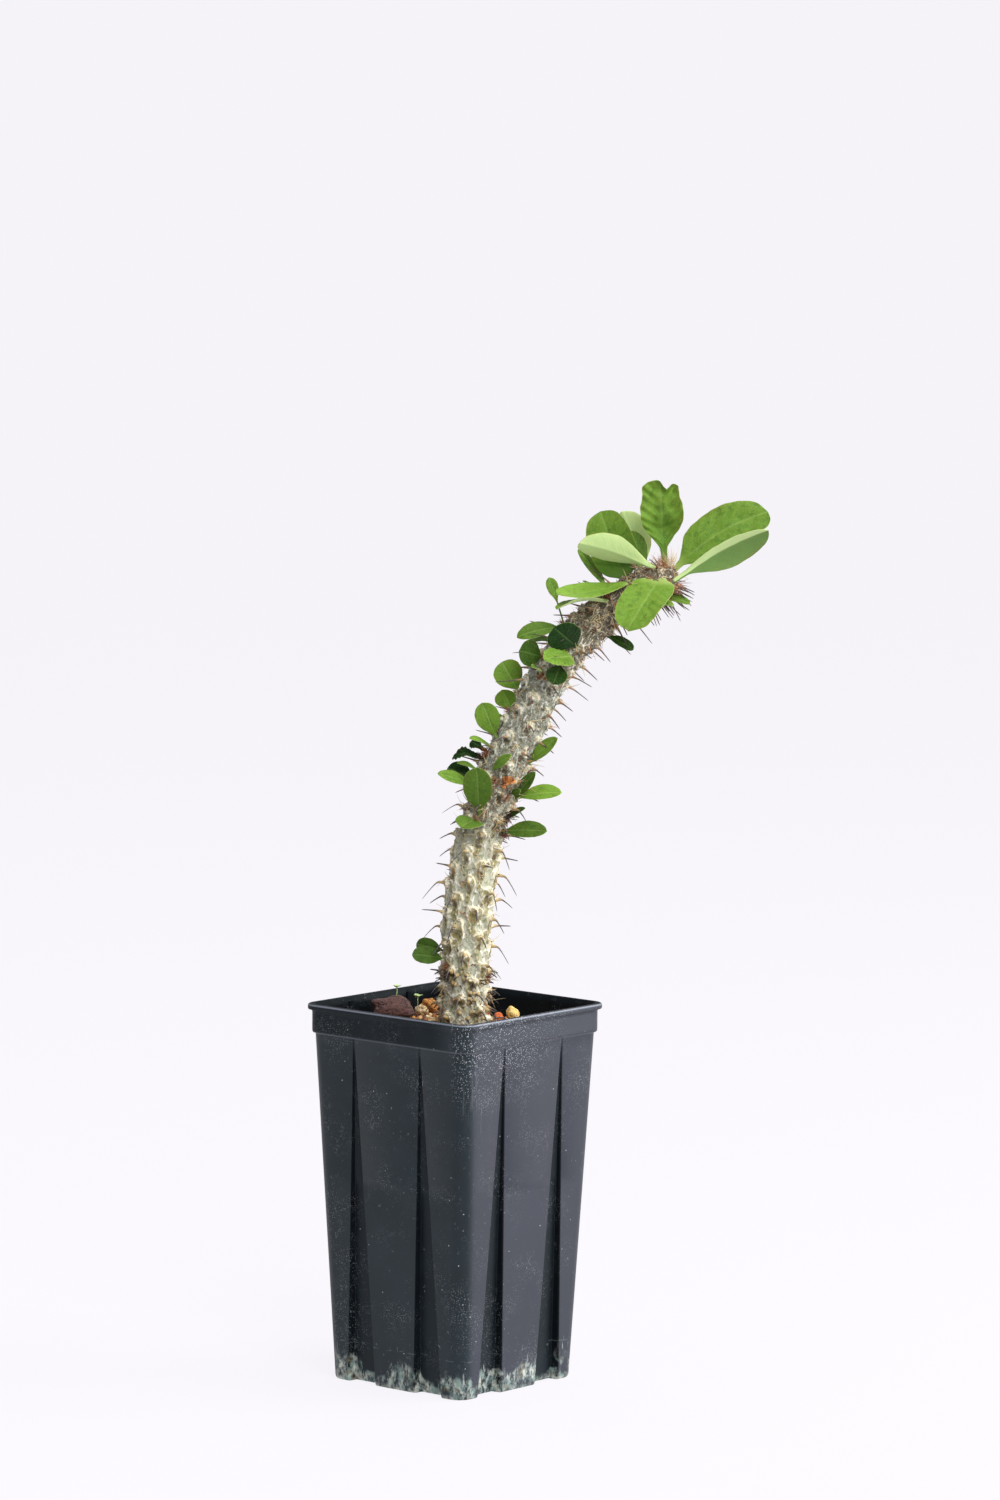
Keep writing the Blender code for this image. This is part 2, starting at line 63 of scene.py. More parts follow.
POT_HEIGHT = 157.0
LIP_HALF = 45.0
LIP_HEIGHT = 2.4
BAND_HALF = 43.7
BAND_HEIGHT = 12.0
BODY_TOP_HALF = 42.7
BASE_HALF = 36.2
CORNER_RADIUS = 6.8
WALL = 1.1
FLOOR = 1.6
GROOVE_OFFSET = 18.0
GROOVE_WIDTH = 15.5
GROOVE_DEPTH = 4.0
GROOVE_SLANT = 0.7
GROOVE_TIP_WIDTH = 1.0
GROOVE_TIP_DEPTH = 0.15
INNER_RIB = 0.05
DRAIN_RADIUS = 5.0
DRAIN_OFFSET = 19.0
DRAIN_DEPTH = 10.0
CORNER_STEPS = 15
BODY_RINGS = 30

MIX_EDGE_Z = 144.0
MIX_MOUND = 5.0
MIX_MOUND_RADIUS = 24.0
MIX_LUMP = 1.0
MIX_BANK = 2.5
MIX_BANK_RADIUS = 20.0
MIX_BANK_SPOT = (-8.0, 28.0)
MIX_NECK_RADIUS = 7.0
MIX_GAP = 0.3
MIX_RINGS = 40

LEAN_HEADING = math.radians(41.0)
STEM_PATH = [
    (2.0, 0.0, 118.0),
    (3.3, 0.0, 148.0),
    (4.3, 0.0, 179.0),
    (5.4, 0.0, 198.0),
    (8.2, 0.0, 219.0),
    (13.5, 0.5, 239.0),
    (20.0, 1.0, 256.0),
    (28.0, 1.5, 273.0),
    (36.0, 2.0, 290.0),
    (45.0, 2.5, 304.0),
    (56.0, 3.0, 315.5),
    (68.0, 3.5, 324.5),
    (80.0, 4.0, 331.0),
    (90.0, 4.5, 335.5),
]
SOIL_Z = 148.0
PATH_STEPS = 12
STEM_RINGS = 560
STEM_SIDES = 150
BURIED = 6.0
STEM_RADII = [(-30.0, 8.8), (0.0, 8.8), (55.0, 9.0), (78.0, 8.4), (106.0, 9.2), (135.0, 7.8), (206.0, 7.2)]
DOME_LENGTH = 14.0
TUBERCLE_PITCH = 1.45
TUBERCLE_TURN = math.radians(137.5)
TUBERCLE_START = 3.0
TUBERCLE_WAVER = 1.3

# Along the stem: distance, then the tubercle's height, half width, tail below the spine and arch
# above it, and the spine's length, sag as a share of the length and thickness, 1 being usual.
STEM_ZONES = [
    (0.0, 2.6, 2.7, 6.0, 2.2, 7.0, 0.50, 1.25),
    (24.0, 2.4, 3.0, 9.0, 2.6, 8.0, 0.50, 1.1),
    (42.0, 2.3, 3.4, 11.5, 3.0, 11.0, 0.60, 1.0),
    (86.0, 2.2, 3.2, 10.5, 2.8, 10.5, 0.55, 1.0),
    (104.0, 1.8, 2.8, 8.0, 2.4, 9.0, 0.25, 0.9),
    (140.0, 1.6, 2.5, 7.0, 2.2, 11.5, 0.10, 0.75),
    (206.0, 1.5, 2.4, 6.0, 2.0, 13.5, 0.05, 0.8),
    (224.0, 0.8, 2.0, 3.0, 1.6, 10.0, 0.0, 0.8),
]

# Leaves: name, distance up the stem, degrees round it, tip (s, d, z), width, the way the upper face
# looks (s, d, z), arch, fold as a share of the half width, outline, tone from dark 0 to light 1, partly
# the leaf's age and partly painted light and shade.
LEAVES = [
    ("crown_leaf_right", 216, -85, (127, 14, 360), 21, (-35, -80, 50), 2, 0.15, "full", 0.54),
    ("crown_leaf_right_lower", 217, 60, (126, -12, 355), 18, (-12, 66, 74), 3, -0.35, "pointed", 0.85),
    ("crown_leaf_upright", 216, -150, (82, 3, 374), 18, (10, -99, 10), -2, 0.2, "notched", 0.6),
    ("crown_leaf_left", 213, 145, (49, -13, 349), 15, (-10, 74, 66), 3, 0.2, "long", 0.75),
    ("crown_leaf_left_back", 210, -165, (66, 12, 351), 12, (-20, -60, 80), 1, 0.20, "oval", 0.35),
    ("crown_leaf_pale", 206, -130, (67, 22, 359), 17, (30, 90, 20), 2, 0.15, "oval", 0.75),
    ("crown_leaf_round", 200, -160, (58, 10, 360), 19.5, (-30, -90, 30), 2, 0.15, "broad", 0.6),
    ("crown_leaf_hidden", 192, -140, (49, 14, 344), 4.5, (-20, -60, 80), 1, 0.15, "oval", 0.5),
    ("crown_leaf_drooping", 213, 100, (69, -22, 314), 21, (-35, -75, 55), 3, 0.15, "broad", 0.67),
    ("crown_leaf_long", 204, 140, (40, -14, 328), 15, (-10, -35, 93), -2, 0.15, "long", 0.8),
    ("upper_leaf_1", 190, 120, (40, -15, 322), 11, (0, 20, 97), 2, 0.2, "long", 0.85),
    ("upper_leaf_2", 170, -172, (37, 5, 333), 5, (20, -90, 10), 1, 0.2, "paddle", 0.6),
    ("upper_leaf_3", 187, -172, (51, 4, 332), 6, (0, 10, 99), 1, 0.2, "oval", 0.05),
    ("upper_leaf_4", 209, -10, (95, 1, 323), 5, (0, -60, 80), 1, 0.2, "oval", 0.50),
    ("upper_leaf_5", 203, 28, (88, -6, 323), 4, (0, -60, 80), 1, 0.2, "oval", 0.62),
    ("upper_leaf_6", 179, 0, (72, 1, 304), 5, (30, -80, 50), 1, 0.2, "round", 0.05),
    ("upper_leaf_7", 170, 165, (24, -3, 309), 8, (-20, -70, 60), 2, 0.2, "oval", 0.40),
    ("upper_leaf_8", 163, -170, (29, 7, 307), 5, (0, -60, 80), 1, 0.2, "oval", 0.20),
    ("upper_leaf_9", 168, 65, (39, -20, 315), 14, (-10, -97, -5), 1, 0.1, "round", 0.0),
    ("upper_leaf_10", 163, 58, (35, -22, 302), 9.5, (0, -90, 45), 1, 0.1, "broad", 0.6),
    ("upper_leaf_11", 156, 150, (25, -8, 304), 11, (-30, -90, 30), 1, 0.1, "round", 0.15),
    ("upper_leaf_12", 158, 80, (39, -14, 291), 9, (0, -90, 40), 1, 0.1, "round", 0.05),
    ("upper_leaf_13", 150, 118, (30, -12, 298), 4, (0, -60, 80), 1, 0.2, "oval", 0.55),
    ("upper_leaf_14", 139, -172, (18, 5, 298), 12, (-10, -98, 10), 1, 0.1, "round", 0.55),
    ("upper_leaf_15", 131, 174, (18, -1, 287), 9, (-30, -90, 30), -2, 0.5, "oval", 0.52),
    ("middle_leaf_1", 118, 165, (10, -5, 282), 10, (-10, -98, 10), 1, 0.1, "round", 0.60),
    ("middle_leaf_2", 121, -168, (17, 2, 277), 4, (-10, -98, 10), 1, 0.2, "oval", 0.50),
    ("middle_leaf_3", 114, 158, (5, -9, 268), 4, (0, -50, 85), 1, 0.2, "oval", 0.62),
    ("middle_leaf_4", 109, 178, (-2, -1, 259), 4, (0, -50, 85), 1, 0.4, "oval", 0.0),
    ("middle_leaf_5", 112, -165, (5, 6, 264), 4, (0, -50, 85), 1, 0.4, "oval", 0.0),
    ("middle_leaf_6", 103, 178, (0, -1, 257), 3, (0, -50, 85), 1, 0.2, "oval", 0.55),
    ("middle_leaf_7", 99, -168, (-4, 4, 254), 9, (-10, -85, 50), 1, 0.1, "round", 0.0),
    ("middle_leaf_8", 97, 165, (-8, -7, 253), 6, (0, -70, 70), 1, 0.2, "oval", 0.62),
    ("middle_leaf_9", 87, 110, (8, -19, 257), 12, (-10, -98, 15), 1, 0.1, "round", 0.35),
    ("middle_leaf_10", 85, 118, (2, -17, 232), 11, (-20, -80, 60), 1, 0.1, "broad", 0.45),
    ("middle_leaf_11", 106, 124, (22, -16, 262), 4, (-20, -90, 30), 1, 0.2, "oval", 0.62),
    ("middle_leaf_12", 113, 15, (41, -6, 268), 6, (-40, -80, 30), 1, 0.2, "oval", 0.58),
    ("middle_leaf_13", 96, 12, (32, -8, 254), 5, (-30, -90, 10), 1, 0.2, "oval", 0.20),
    ("middle_leaf_14", 100, 45, (26, -13, 247), 3, (0, -98, 10), 0, 0.2, "oval", 0.35),
    ("middle_leaf_15", 98, -5, (43, -2, 245), 8.5, (-20, -60, 75), 1, 0.2, "oval", 0.8),
    ("middle_leaf_16", 83, 28, (37, -10, 230), 8, (0, -80, 60), 1, 0.2, "oval", 0.30),
    ("middle_leaf_17", 88, 5, (28, -6, 239), 3, (0, -80, 60), 1, 0.2, "oval", 0.10),
    ("dried_bract", 101, 68, (24, -14, 251), 5, (0, -80, 60), 2, 0.5, "oval", 0.5),
    ("lower_leaf_1", 27, 165, (-17.8, -7, 178), 7.5, (-20, -85, 50), 1, 0.1, "round", 0.2),
    ("lower_leaf_2", 30, -175, (-16.2, 0, 181.5), 7, (-20, -95, 20), 1, 0.1, "round", 0.16),
]

# Share of the full width along a leaf: (share of the length from its foot, share of the width).
OUTLINES = {
    "full": [
        (0, 0.12), (0.14, 0.15), (0.22, 0.42), (0.31, 0.8), (0.43, 0.96),
        (0.56, 1.0), (0.75, 0.97), (0.9, 0.78), (0.97, 0.5), (1, 0),
    ],
    "pointed": [
        (0, 0.14), (0.12, 0.16), (0.25, 0.45), (0.42, 0.85), (0.55, 1.0),
        (0.7, 0.93), (0.85, 0.66), (0.94, 0.4), (1, 0),
    ],
    "long": [
        (0, 0.14), (0.12, 0.16), (0.25, 0.42), (0.42, 0.78), (0.6, 1.0),
        (0.76, 0.96), (0.9, 0.7), (0.96, 0.48), (1, 0),
    ],
    "notched": [
        (0, 0.12), (0.2, 0.16), (0.33, 0.48), (0.46, 0.86), (0.58, 1.0),
        (0.7, 0.97), (0.8, 0.86), (0.92, 0.84), (0.975, 0.62), (1, 0),
    ],
    "oval": [
        (0, 0.16), (0.14, 0.18), (0.28, 0.55), (0.45, 0.88), (0.62, 1.0),
        (0.78, 0.92), (0.9, 0.66), (0.96, 0.42), (1, 0),
    ],
    "broad": [
        (0, 0.13), (0.06, 0.3), (0.13, 0.66), (0.24, 0.9), (0.4, 0.99),
        (0.55, 1.0), (0.72, 0.93), (0.88, 0.74), (0.95, 0.52), (1, 0),
    ],
    "round": [
        (0, 0.12), (0.16, 0.13), (0.27, 0.42), (0.42, 0.8), (0.6, 1.0),
        (0.76, 0.98), (0.9, 0.75), (0.965, 0.48), (1, 0),
    ],
    "paddle": [
        (0, 0.12), (0.5, 0.14), (0.6, 0.4), (0.73, 0.92),
        (0.84, 1.0), (0.94, 0.75), (1, 0),
    ],
}
# Extra shape of single leaves: depth of the tip's notch and its place across, puckering, wave of the
# margin, sideways sweep in millimetres, how much wider the right half is, and how much painted shade
# darkens the foot and one half (the right half, or the left one below 0).
LEAF_TRAITS = {
    "crown_leaf_right": (0.0, 0.0, 0.8, 0.5, -3.0, 0.0, 0.0, 0.0),
    "crown_leaf_right_lower": (0.0, 0.0, 0.3, 0.8, -1.5, -0.05, 0.0, -1.0),
    "crown_leaf_upright": (0.10, 0.25, 2.6, 0.8, 0.0, 0.0, 0.5, 0.0),
    "crown_leaf_left": (0.0, 0.0, 0.1, 0.3, 1.0, 0.0, 0.0, 0.0),
    "crown_leaf_left_back": (0.0, 0.0, 0.1, 0.4, 0.0, 0.0, 0.3, 0.0),
    "crown_leaf_round": (0.0, 0.0, 0.35, 0.4, 0.0, 0.0, 0.75, 0.0),
    "crown_leaf_drooping": (0.0, 0.0, 0.7, 0.6, -1.0, 0.0, 0.0, 0.0),
    "crown_leaf_long": (0.0, 0.0, 0.1, 0.2, 0.0, 0.0, 0.0, 0.0),
    "upper_leaf_10": (0.0, 0.0, 0.9, 0.7, 0.0, 0.0, 0.0, 0.0),
    "middle_leaf_4": (0.0, 0.0, 2.4, 2.2, 1.5, 0.0, 0.6, 0.0),
    "middle_leaf_5": (0.0, 0.0, 2.4, 2.2, -1.5, 0.0, 0.6, 0.0),
    "dried_bract": (0.0, 0.0, 2.0, 1.5, 0.0, 0.0, 0.0, 0.0),
}
PLAIN_TRAITS = (0.0, 0.0, 0.25, 0.25, 0.0, 0.0, 0.15, 0.0)
# Leaves with the darker, glossier skin.
DARK_LEAVES = {"upper_leaf_6", "upper_leaf_9", "upper_leaf_11", "upper_leaf_12", "middle_leaf_7"}

# Stones on the mix: name, (s, d), size (s, d, z), seed, slot.
STONES = [
    ("lava_rock", (-26.0, 16.0), (17.5, 14.0, 9.5), 3, "lava_stone"),
    ("pumice_gold_large", (-11.0, 34.0), (7.0, 6.0, 6.0), 5, "pumice_gold"),
    ("pumice_gold_small", (-4.0, 29.0), (5.0, 4.5, 4.5), 8, "pumice_gold"),
    ("pumice_tan", (-14.0, 25.0), (5.0, 4.5, 4.0), 13, "pumice_tan"),
    ("pumice_yellow", (24.0, 21.0), (5.5, 5.0, 6.0), 21, "pumice_yellow"),
    ("grit_orange_large", (18.0, 13.0), (4.5, 4.0, 3.6), 34, "grit_orange"),
    ("grit_orange_small", (12.5, 19.0), (4.0, 3.5, 3.4), 55, "grit_orange"),
    ("grit_red", (-36.0, 5.0), (4.0, 3.6, 3.2), 89, "grit_orange"),
]
SEEDLINGS = [
    ("seedling_left", (-24.5, 16.5), 3.0, 2.2),
    ("seedling_right", (-16.0, 33.5), 7.0, 2.4),
]

# Bristly buds on the stem: distance up it, degrees round it, radius of the tuft, number of
# bristles, their length, and colour from dark brown 0 through rust 0.5 to straw 1.
TUFTS = [
    (21, 135, 3.2, 110, 3.6, 0.05),
    (25, 140, 2.0, 60, 3.0, 0.45),
    (20, 20, 1.8, 45, 3.2, 0.35),
    (86, 112, 1.8, 50, 2.4, 0.55),
    (83, 25, 2.4, 90, 3.4, 0.3),
    (90, 35, 3.2, 120, 3.4, 0.02),
    (98, 60, 2.0, 50, 2.6, 0.55),
    (103, 100, 2.4, 80, 2.6, 0.6),
    (112, 160, 2.8, 90, 3.0, 0.5),
    (109, 175, 2.8, 80, 3.0, 0.15),
    (112, 12, 2.2, 80, 3.2, 0.4),
    (121, 172, 2.0, 50, 3.2, 0.4),
    (131, 178, 1.8, 40, 3.0, 0.45),
    (139, -175, 1.8, 40, 3.0, 0.5),
    (150, 110, 2.2, 70, 2.8, 0.55),
    (157, 140, 2.0, 50, 2.6, 0.65),
    (160, 70, 2.2, 60, 2.8, 0.45),
    (170, 160, 2.2, 60, 3.2, 0.4),
    (190, 130, 2.2, 60, 3.4, 0.45),
    (203, 60, 2.6, 80, 4.0, 0.45),
    (211, 10, 3.0, 60, 5.0, 0.4),
    (217, -10, 3.0, 60, 6.5, 0.42),
    (214, 150, 2.8, 80, 5.5, 0.55),
]
GROWTH_TIP = (218, -160, 3.4, 70, 8.5, 0.85)
# Spines that stand apart from the tubercles: short claws round the foot, long ones round the tip.
CLAWS = 70
TIP_SPINES = 34
# How thickly prickles and fibres grow, by distance up the stem.
PRICKLY_AT = [0, 20, 30, 78, 88, 108, 120, 150, 168, 190, 224]
PRICKLY = [0.5, 0.5, 0.25, 0.3, 1.2, 1.0, 0.3, 0.35, 0.8, 1.3, 1.3]

# Leaves wider than this get the finer mesh.
BIG_LEAF_WIDTH = 11.5
BIG_LEAF_GRID = (72, 33)
SMALL_LEAF_GRID = (40, 19)

# The stage, in metres: the floor's near edge, where it starts to curve up, the curve's radius, the
# height of the backdrop and half its width.
FLOOR_NEAR = -7.0
FLOOR_FAR = 3.4
SWEEP_RADIUS = 1.6
SWEEP_HEIGHT = 6.0
SWEEP_HALF_WIDTH = 7.0
SWEEP_STEPS = 12

# Lamps: name, place (s, d, z) in metres, side of the panel, watts, colour.
LAMPS = [
    ("key_right", (1.75, -0.1, 0.8), 1.5, 46.0, (1.0, 0.985, 0.97)),
    ("front_soft", (0.7, -2.0, 1.8), 1.2, 58.0, (1.0, 0.99, 0.98)),
    ("top_soft", (0.3, 0.0, 2.3), 1.4, 30.0, (0.98, 0.98, 1.0)),
]
LAMPS_AIM = (0.0, 0.0, 0.18)
SKY = (0.96, 0.96, 1.0)
SKY_STRENGTH = 0.3

# The camera's place round the plant, then how it is turned there.
CAMERA_CENTRE = (0.0, 0.0, 0.0783)
CAMERA_ELEVATION = math.radians(10.256)
CAMERA_PITCH = math.radians(6.65)
CAMERA_PAN = math.radians(0.352)
CAMERA_ROLL = math.radians(0.52)


def shade(red, green, blue):
    """A screen colour, 0 to 255 a channel, as scene-linear light."""
    screen = (red / 255, green / 255, blue / 255)
    return tuple(c / 12.92 if c <= 0.04045 else ((c + 0.055) / 1.055) ** 2.4 for c in screen)


def scaled(tone, factor):
    """A colour made darker or lighter by a factor."""
    return tuple(factor * part for part in tone)


# ---------------------------------------------------------------- settings a user would change


def length(name, millimetres, description):
    return bpy.props.FloatProperty(
        name=name, description=description, default=millimetres * MM, min=0.0, unit="LENGTH", precision=4
    )


def colour(name, default, description):
    return bpy.props.FloatVectorProperty(
        name=name, description=description, default=default, size=3, min=0.0, max=1.0, subtype="COLOR"
    )


def share(name, default, description):
    return bpy.props.FloatProperty(
        name=name, description=description, default=default, min=0.0, max=1.0, subtype="FACTOR"
    )


class PotSettings(bpy.types.PropertyGroup):
    groove_width: length("Groove width", GROOVE_WIDTH, "Width of each groove at the pot's base")
    groove_depth: length("Groove depth", GROOVE_DEPTH, "Depth of each groove at the pot's base")
    wall: length("Wall", WALL, "Thickness of the moulded wall")
    plastic: colour("Plastic", shade(8, 16, 22), "Colour of the moulded plastic")
    haze: colour("Haze", shade(30, 42, 52), "Colour of dust and rubbed plastic")
    lime: colour("Lime", shade(196, 202, 192), "Colour of dried lime at the base")
    splash: share("Splash", 0.8, "How strongly dried splashes show on the rim's sunny corner")


class MixSettings(bpy.types.PropertyGroup):
    grain: length("Grain", 2.1, "Size of a typical grain of the mix")
    spacing: length("Spacing", 1.6, "Least distance between two grains")
    seed: bpy.props.IntProperty(name="Seed", description="Seed of the grains' places", default=7)
    soil: colour("Soil", shade(74, 56, 44), "Colour of the fine soil")
    gold: colour("Gold pumice", shade(214, 152, 78), "Colour of the golden pumice")
    lava: colour("Lava", shade(96, 66, 62), "Colour of the lava rock")


class StemSettings(bpy.types.PropertyGroup):
    cream: colour("Cream", shade(234, 222, 192), "Colour of the tubercles' raised edges")
    grey: colour("Grey green", shade(170, 172, 154), "Colour of the bark between the tubercles")
    olive: colour("Olive", shade(140, 130, 74), "Colour of a tubercle's face")
    bark: colour("Old bark", shade(74, 66, 52), "Colour of the dark mottling of the upper stem")
    spine_foot: colour("Spine foot", shade(176, 152, 104), "Colour at a spine's foot")
    spine_tip: colour("Spine tip", shade(52, 46, 48), "Colour at a spine's point")
    spine_radius: length("Spine radius", 0.4, "Radius of a spine past its broad foot")
    bristle_radius: length("Bristle radius", 0.1, "Radius of a bristle at its foot")


class LeafSettings(bpy.types.PropertyGroup):
    light: colour("Light leaf", shade(126, 162, 54), "Upper face of a young leaf")
    deep: colour("Deep leaf", shade(9, 36, 4), "Upper face of an old leaf")
    under: colour("Underside", shade(202, 224, 156), "Under face of a leaf")
    vein: colour("Midrib", shade(180, 204, 118), "Midrib and leaf stalk")
    edge: colour("Edge", shade(178, 184, 122), "Thin margin of a leaf")
    thickness: length("Thickness", 0.55, "Thickness of a leaf along its midrib")


class StageSettings(bpy.types.PropertyGroup):
    floor: colour("Floor", (0.06, 0.058, 0.06), "How much of the lamps' light the paper gives back")
    glow: colour("Glow", (0.878, 0.86, 0.9), "Even light of the brightly lit paper")
    lens: bpy.props.FloatProperty(name="Lens", description="Focal length", default=168.0, unit="CAMERA")
    distance: length("Camera distance", 2903.0, "Distance of the camera from the middle of the pot")


SETTINGS = {
    "euphorbia_pot": PotSettings,
    "euphorbia_mix": MixSettings,
    "euphorbia_stem": StemSettings,
    "euphorbia_leaf": LeafSettings,
    "euphorbia_stage": StageSettings,
}


# ---------------------------------------------------------------- node trees


class Wire:
    """A socket that Python's operators work on: each adds the Math node that it names."""

    def __init__(self, wiring, socket):
        self.wiring = wiring
        self.socket = socket

    def maths(self, operation, *values):
        return self.wiring.node("ShaderNodeMath", {"operation": operation}, dict(enumerate(values)))

    def __add__(self, other):
        return self.maths("ADD", self, other)

    def __sub__(self, other):
        return self.maths("SUBTRACT", self, other)

    def __rsub__(self, other):
        return self.maths("SUBTRACT", other, self)

    def __mul__(self, other):
        return self.maths("MULTIPLY", self, other)

    def __truediv__(self, other):
        return self.maths("DIVIDE", self, other)

    def __pow__(self, other):
        return self.maths("POWER", self, other)

    def __abs__(self):
        return self.maths("ABSOLUTE", self)

    def least(self, other):
        return self.maths("MINIMUM", self, other)

    def most(self, other):
        return self.maths("MAXIMUM", self, other)

    __radd__ = __add__
    __rmul__ = __mul__


class Wiring:
    """Adds nodes to a node tree. A socket is named, or numbered among those in use."""

    def __init__(self, tree):
        self.tree = tree

    @staticmethod
    def pick(sockets, key):
        used = [socket for socket in sockets if socket.enabled]
        return used[key] if isinstance(key, int) else next(socket for socket in used if socket.name == key)

    def feed(self, socket, value):
        if isinstance(value, Wire):
            self.tree.links.new(value.socket, socket)
        elif socket.type == "RGBA" and len(value) == 3:
            socket.default_value = (*value, 1.0)
        else:
            socket.default_value = value

    def node(self, kind, settings=None, sockets=None, out=0):
        made = self.tree.nodes.new(kind)
        for key, value in (settings or {}).items():
            if key == "stops":
                ramp = made.color_ramp
                while len(ramp.elements) < len(value):
                    ramp.elements.new(0.5)
                for element, (place, tone) in zip(ramp.elements, value):
                    element.position = place
                    element.color = (*tone, 1.0)
            else:
                setattr(made, key, value)
        for key, value in (sockets or {}).items():
            self.feed(self.pick(made.inputs, key), value)
        return Wire(self, self.pick(made.outputs, out))

    def vector(self, operation, *values):
        return self.node("ShaderNodeVectorMath", {"operation": operation}, dict(enumerate(values)))

    def times(self, vector, factor):
        """The vector times a number."""
        return self.node("ShaderNodeVectorMath", {"operation": "SCALE"}, {"Vector": vector, "Scale": factor})

    def triple(self, x, y, z):
        return self.node("ShaderNodeCombineXYZ", None, {0: x, 1: y, 2: z})


class Finish(Wiring):
    """A material. Its patterns read the object's own coordinates, in millimetres."""

    def __init__(self, name, **constants):
        self.material = bpy.data.materials.new(name)
        self.material.use_nodes = True
        super().__init__(self.material.node_tree)
        self.shader = self.tree.nodes["Principled BSDF"]
        for key, value in constants.items():
            self.feed(self.shader.inputs[key.replace("_", " ").title().replace("Ior", "IOR")], value)
        place = self.node("ShaderNodeTexCoord", out="Object")
        self.place = self.times(place, 1.0 / MM)

    def axes(self, vector):
        split = self.tree.nodes.new("ShaderNodeSeparateXYZ")
        self.feed(split.inputs[0], vector)
        return [Wire(self, socket) for socket in split.outputs]

    def cloud(self, size, detail=3.0, stretch=(1.0, 1.0, 1.0), rough=0.55, twist=0.0, at=None):
        """Soft noise with features of about size millimetres."""
        spot = self.vector("MULTIPLY", at or self.place, tuple(1.0 / (size * part) for part in stretch))
        return self.node(
            "ShaderNodeTexNoise",
            None,
            {"Vector": spot, "Scale": 1.0, "Detail": detail, "Roughness": rough, "Distortion": twist},
        )

    def cells(self, size, feature="F1", out="Distance", at=None):
        """Cells of about size millimetres: the distance from their middles or edges, or their colours."""
        spot = self.vector("MULTIPLY", at or self.place, (1.0 / size,) * 3)
        return self.node("ShaderNodeTexVoronoi", {"feature": feature}, {"Vector": spot, "Scale": 1.0}, out)

    def specks(self, size, edges, chosen, channel, at=None):
        """Dots in the middles of some cells: those whose colour passes chosen in one channel."""
        dot = self.step(self.cells(size, at=at), *edges)
        return dot * self.step(self.axes(self.cells(size, out="Color", at=at))[channel], *chosen)

    def shifted(self, x, y, z):
        """The place moved by some millimetres, so that a second pattern differs from the first."""
        return self.vector("ADD", self.place, (x, y, z))

    def step(self, value, low, high):
        """0 under low, 1 over high and smooth between; low may be the greater."""
        return self.node(
            "ShaderNodeMapRange",
            {"interpolation_type": "SMOOTHSTEP"},
            {"Value": value, "From Min": low, "From Max": high, "To Min": 0.0, "To Max": 1.0},
        )

    def mix(self, amount, first, second, blend="MIX"):
        return self.node(
            "ShaderNodeMix",
            {"data_type": "RGBA", "blend_type": blend},
            {"Factor": amount, "A": first, "B": second},
        )

    def attribute(self, name, out="Fac"):
        return self.node("ShaderNodeAttribute", {"attribute_name": name}, None, out)

    def bump(self, height, strength, distance, normal=None):
        sockets = {"Height": height, "Strength": strength, "Distance": distance * MM}
        if normal:
            sockets["Normal"] = normal
        return self.node("ShaderNodeBump", None, sockets)

    def dull_where(self, amount, base, roughness, specular, normal):
        """Mixes in a second, duller surface by the amount."""
        sockets = {"Base Color": base, "Roughness": roughness, "Normal": normal}
        dull = self.node("ShaderNodeBsdfPrincipled", None, sockets, "BSDF")
        dull.socket.node.inputs["Specular IOR Level"].default_value = specular
        glossy = Wire(self, self.shader.outputs["BSDF"])
        both = self.node("ShaderNodeMixShader", None, {0: amount, 1: glossy, 2: dull})
        self.feed(self.tree.nodes["Material Output"].inputs["Surface"], both)

    def done(self, base, roughness, normal=None):
        self.feed(self.shader.inputs["Base Color"], base)
        self.feed(self.shader.inputs["Roughness"], roughness)
        if normal:
            self.feed(self.shader.inputs["Normal"], normal)
        return self.material


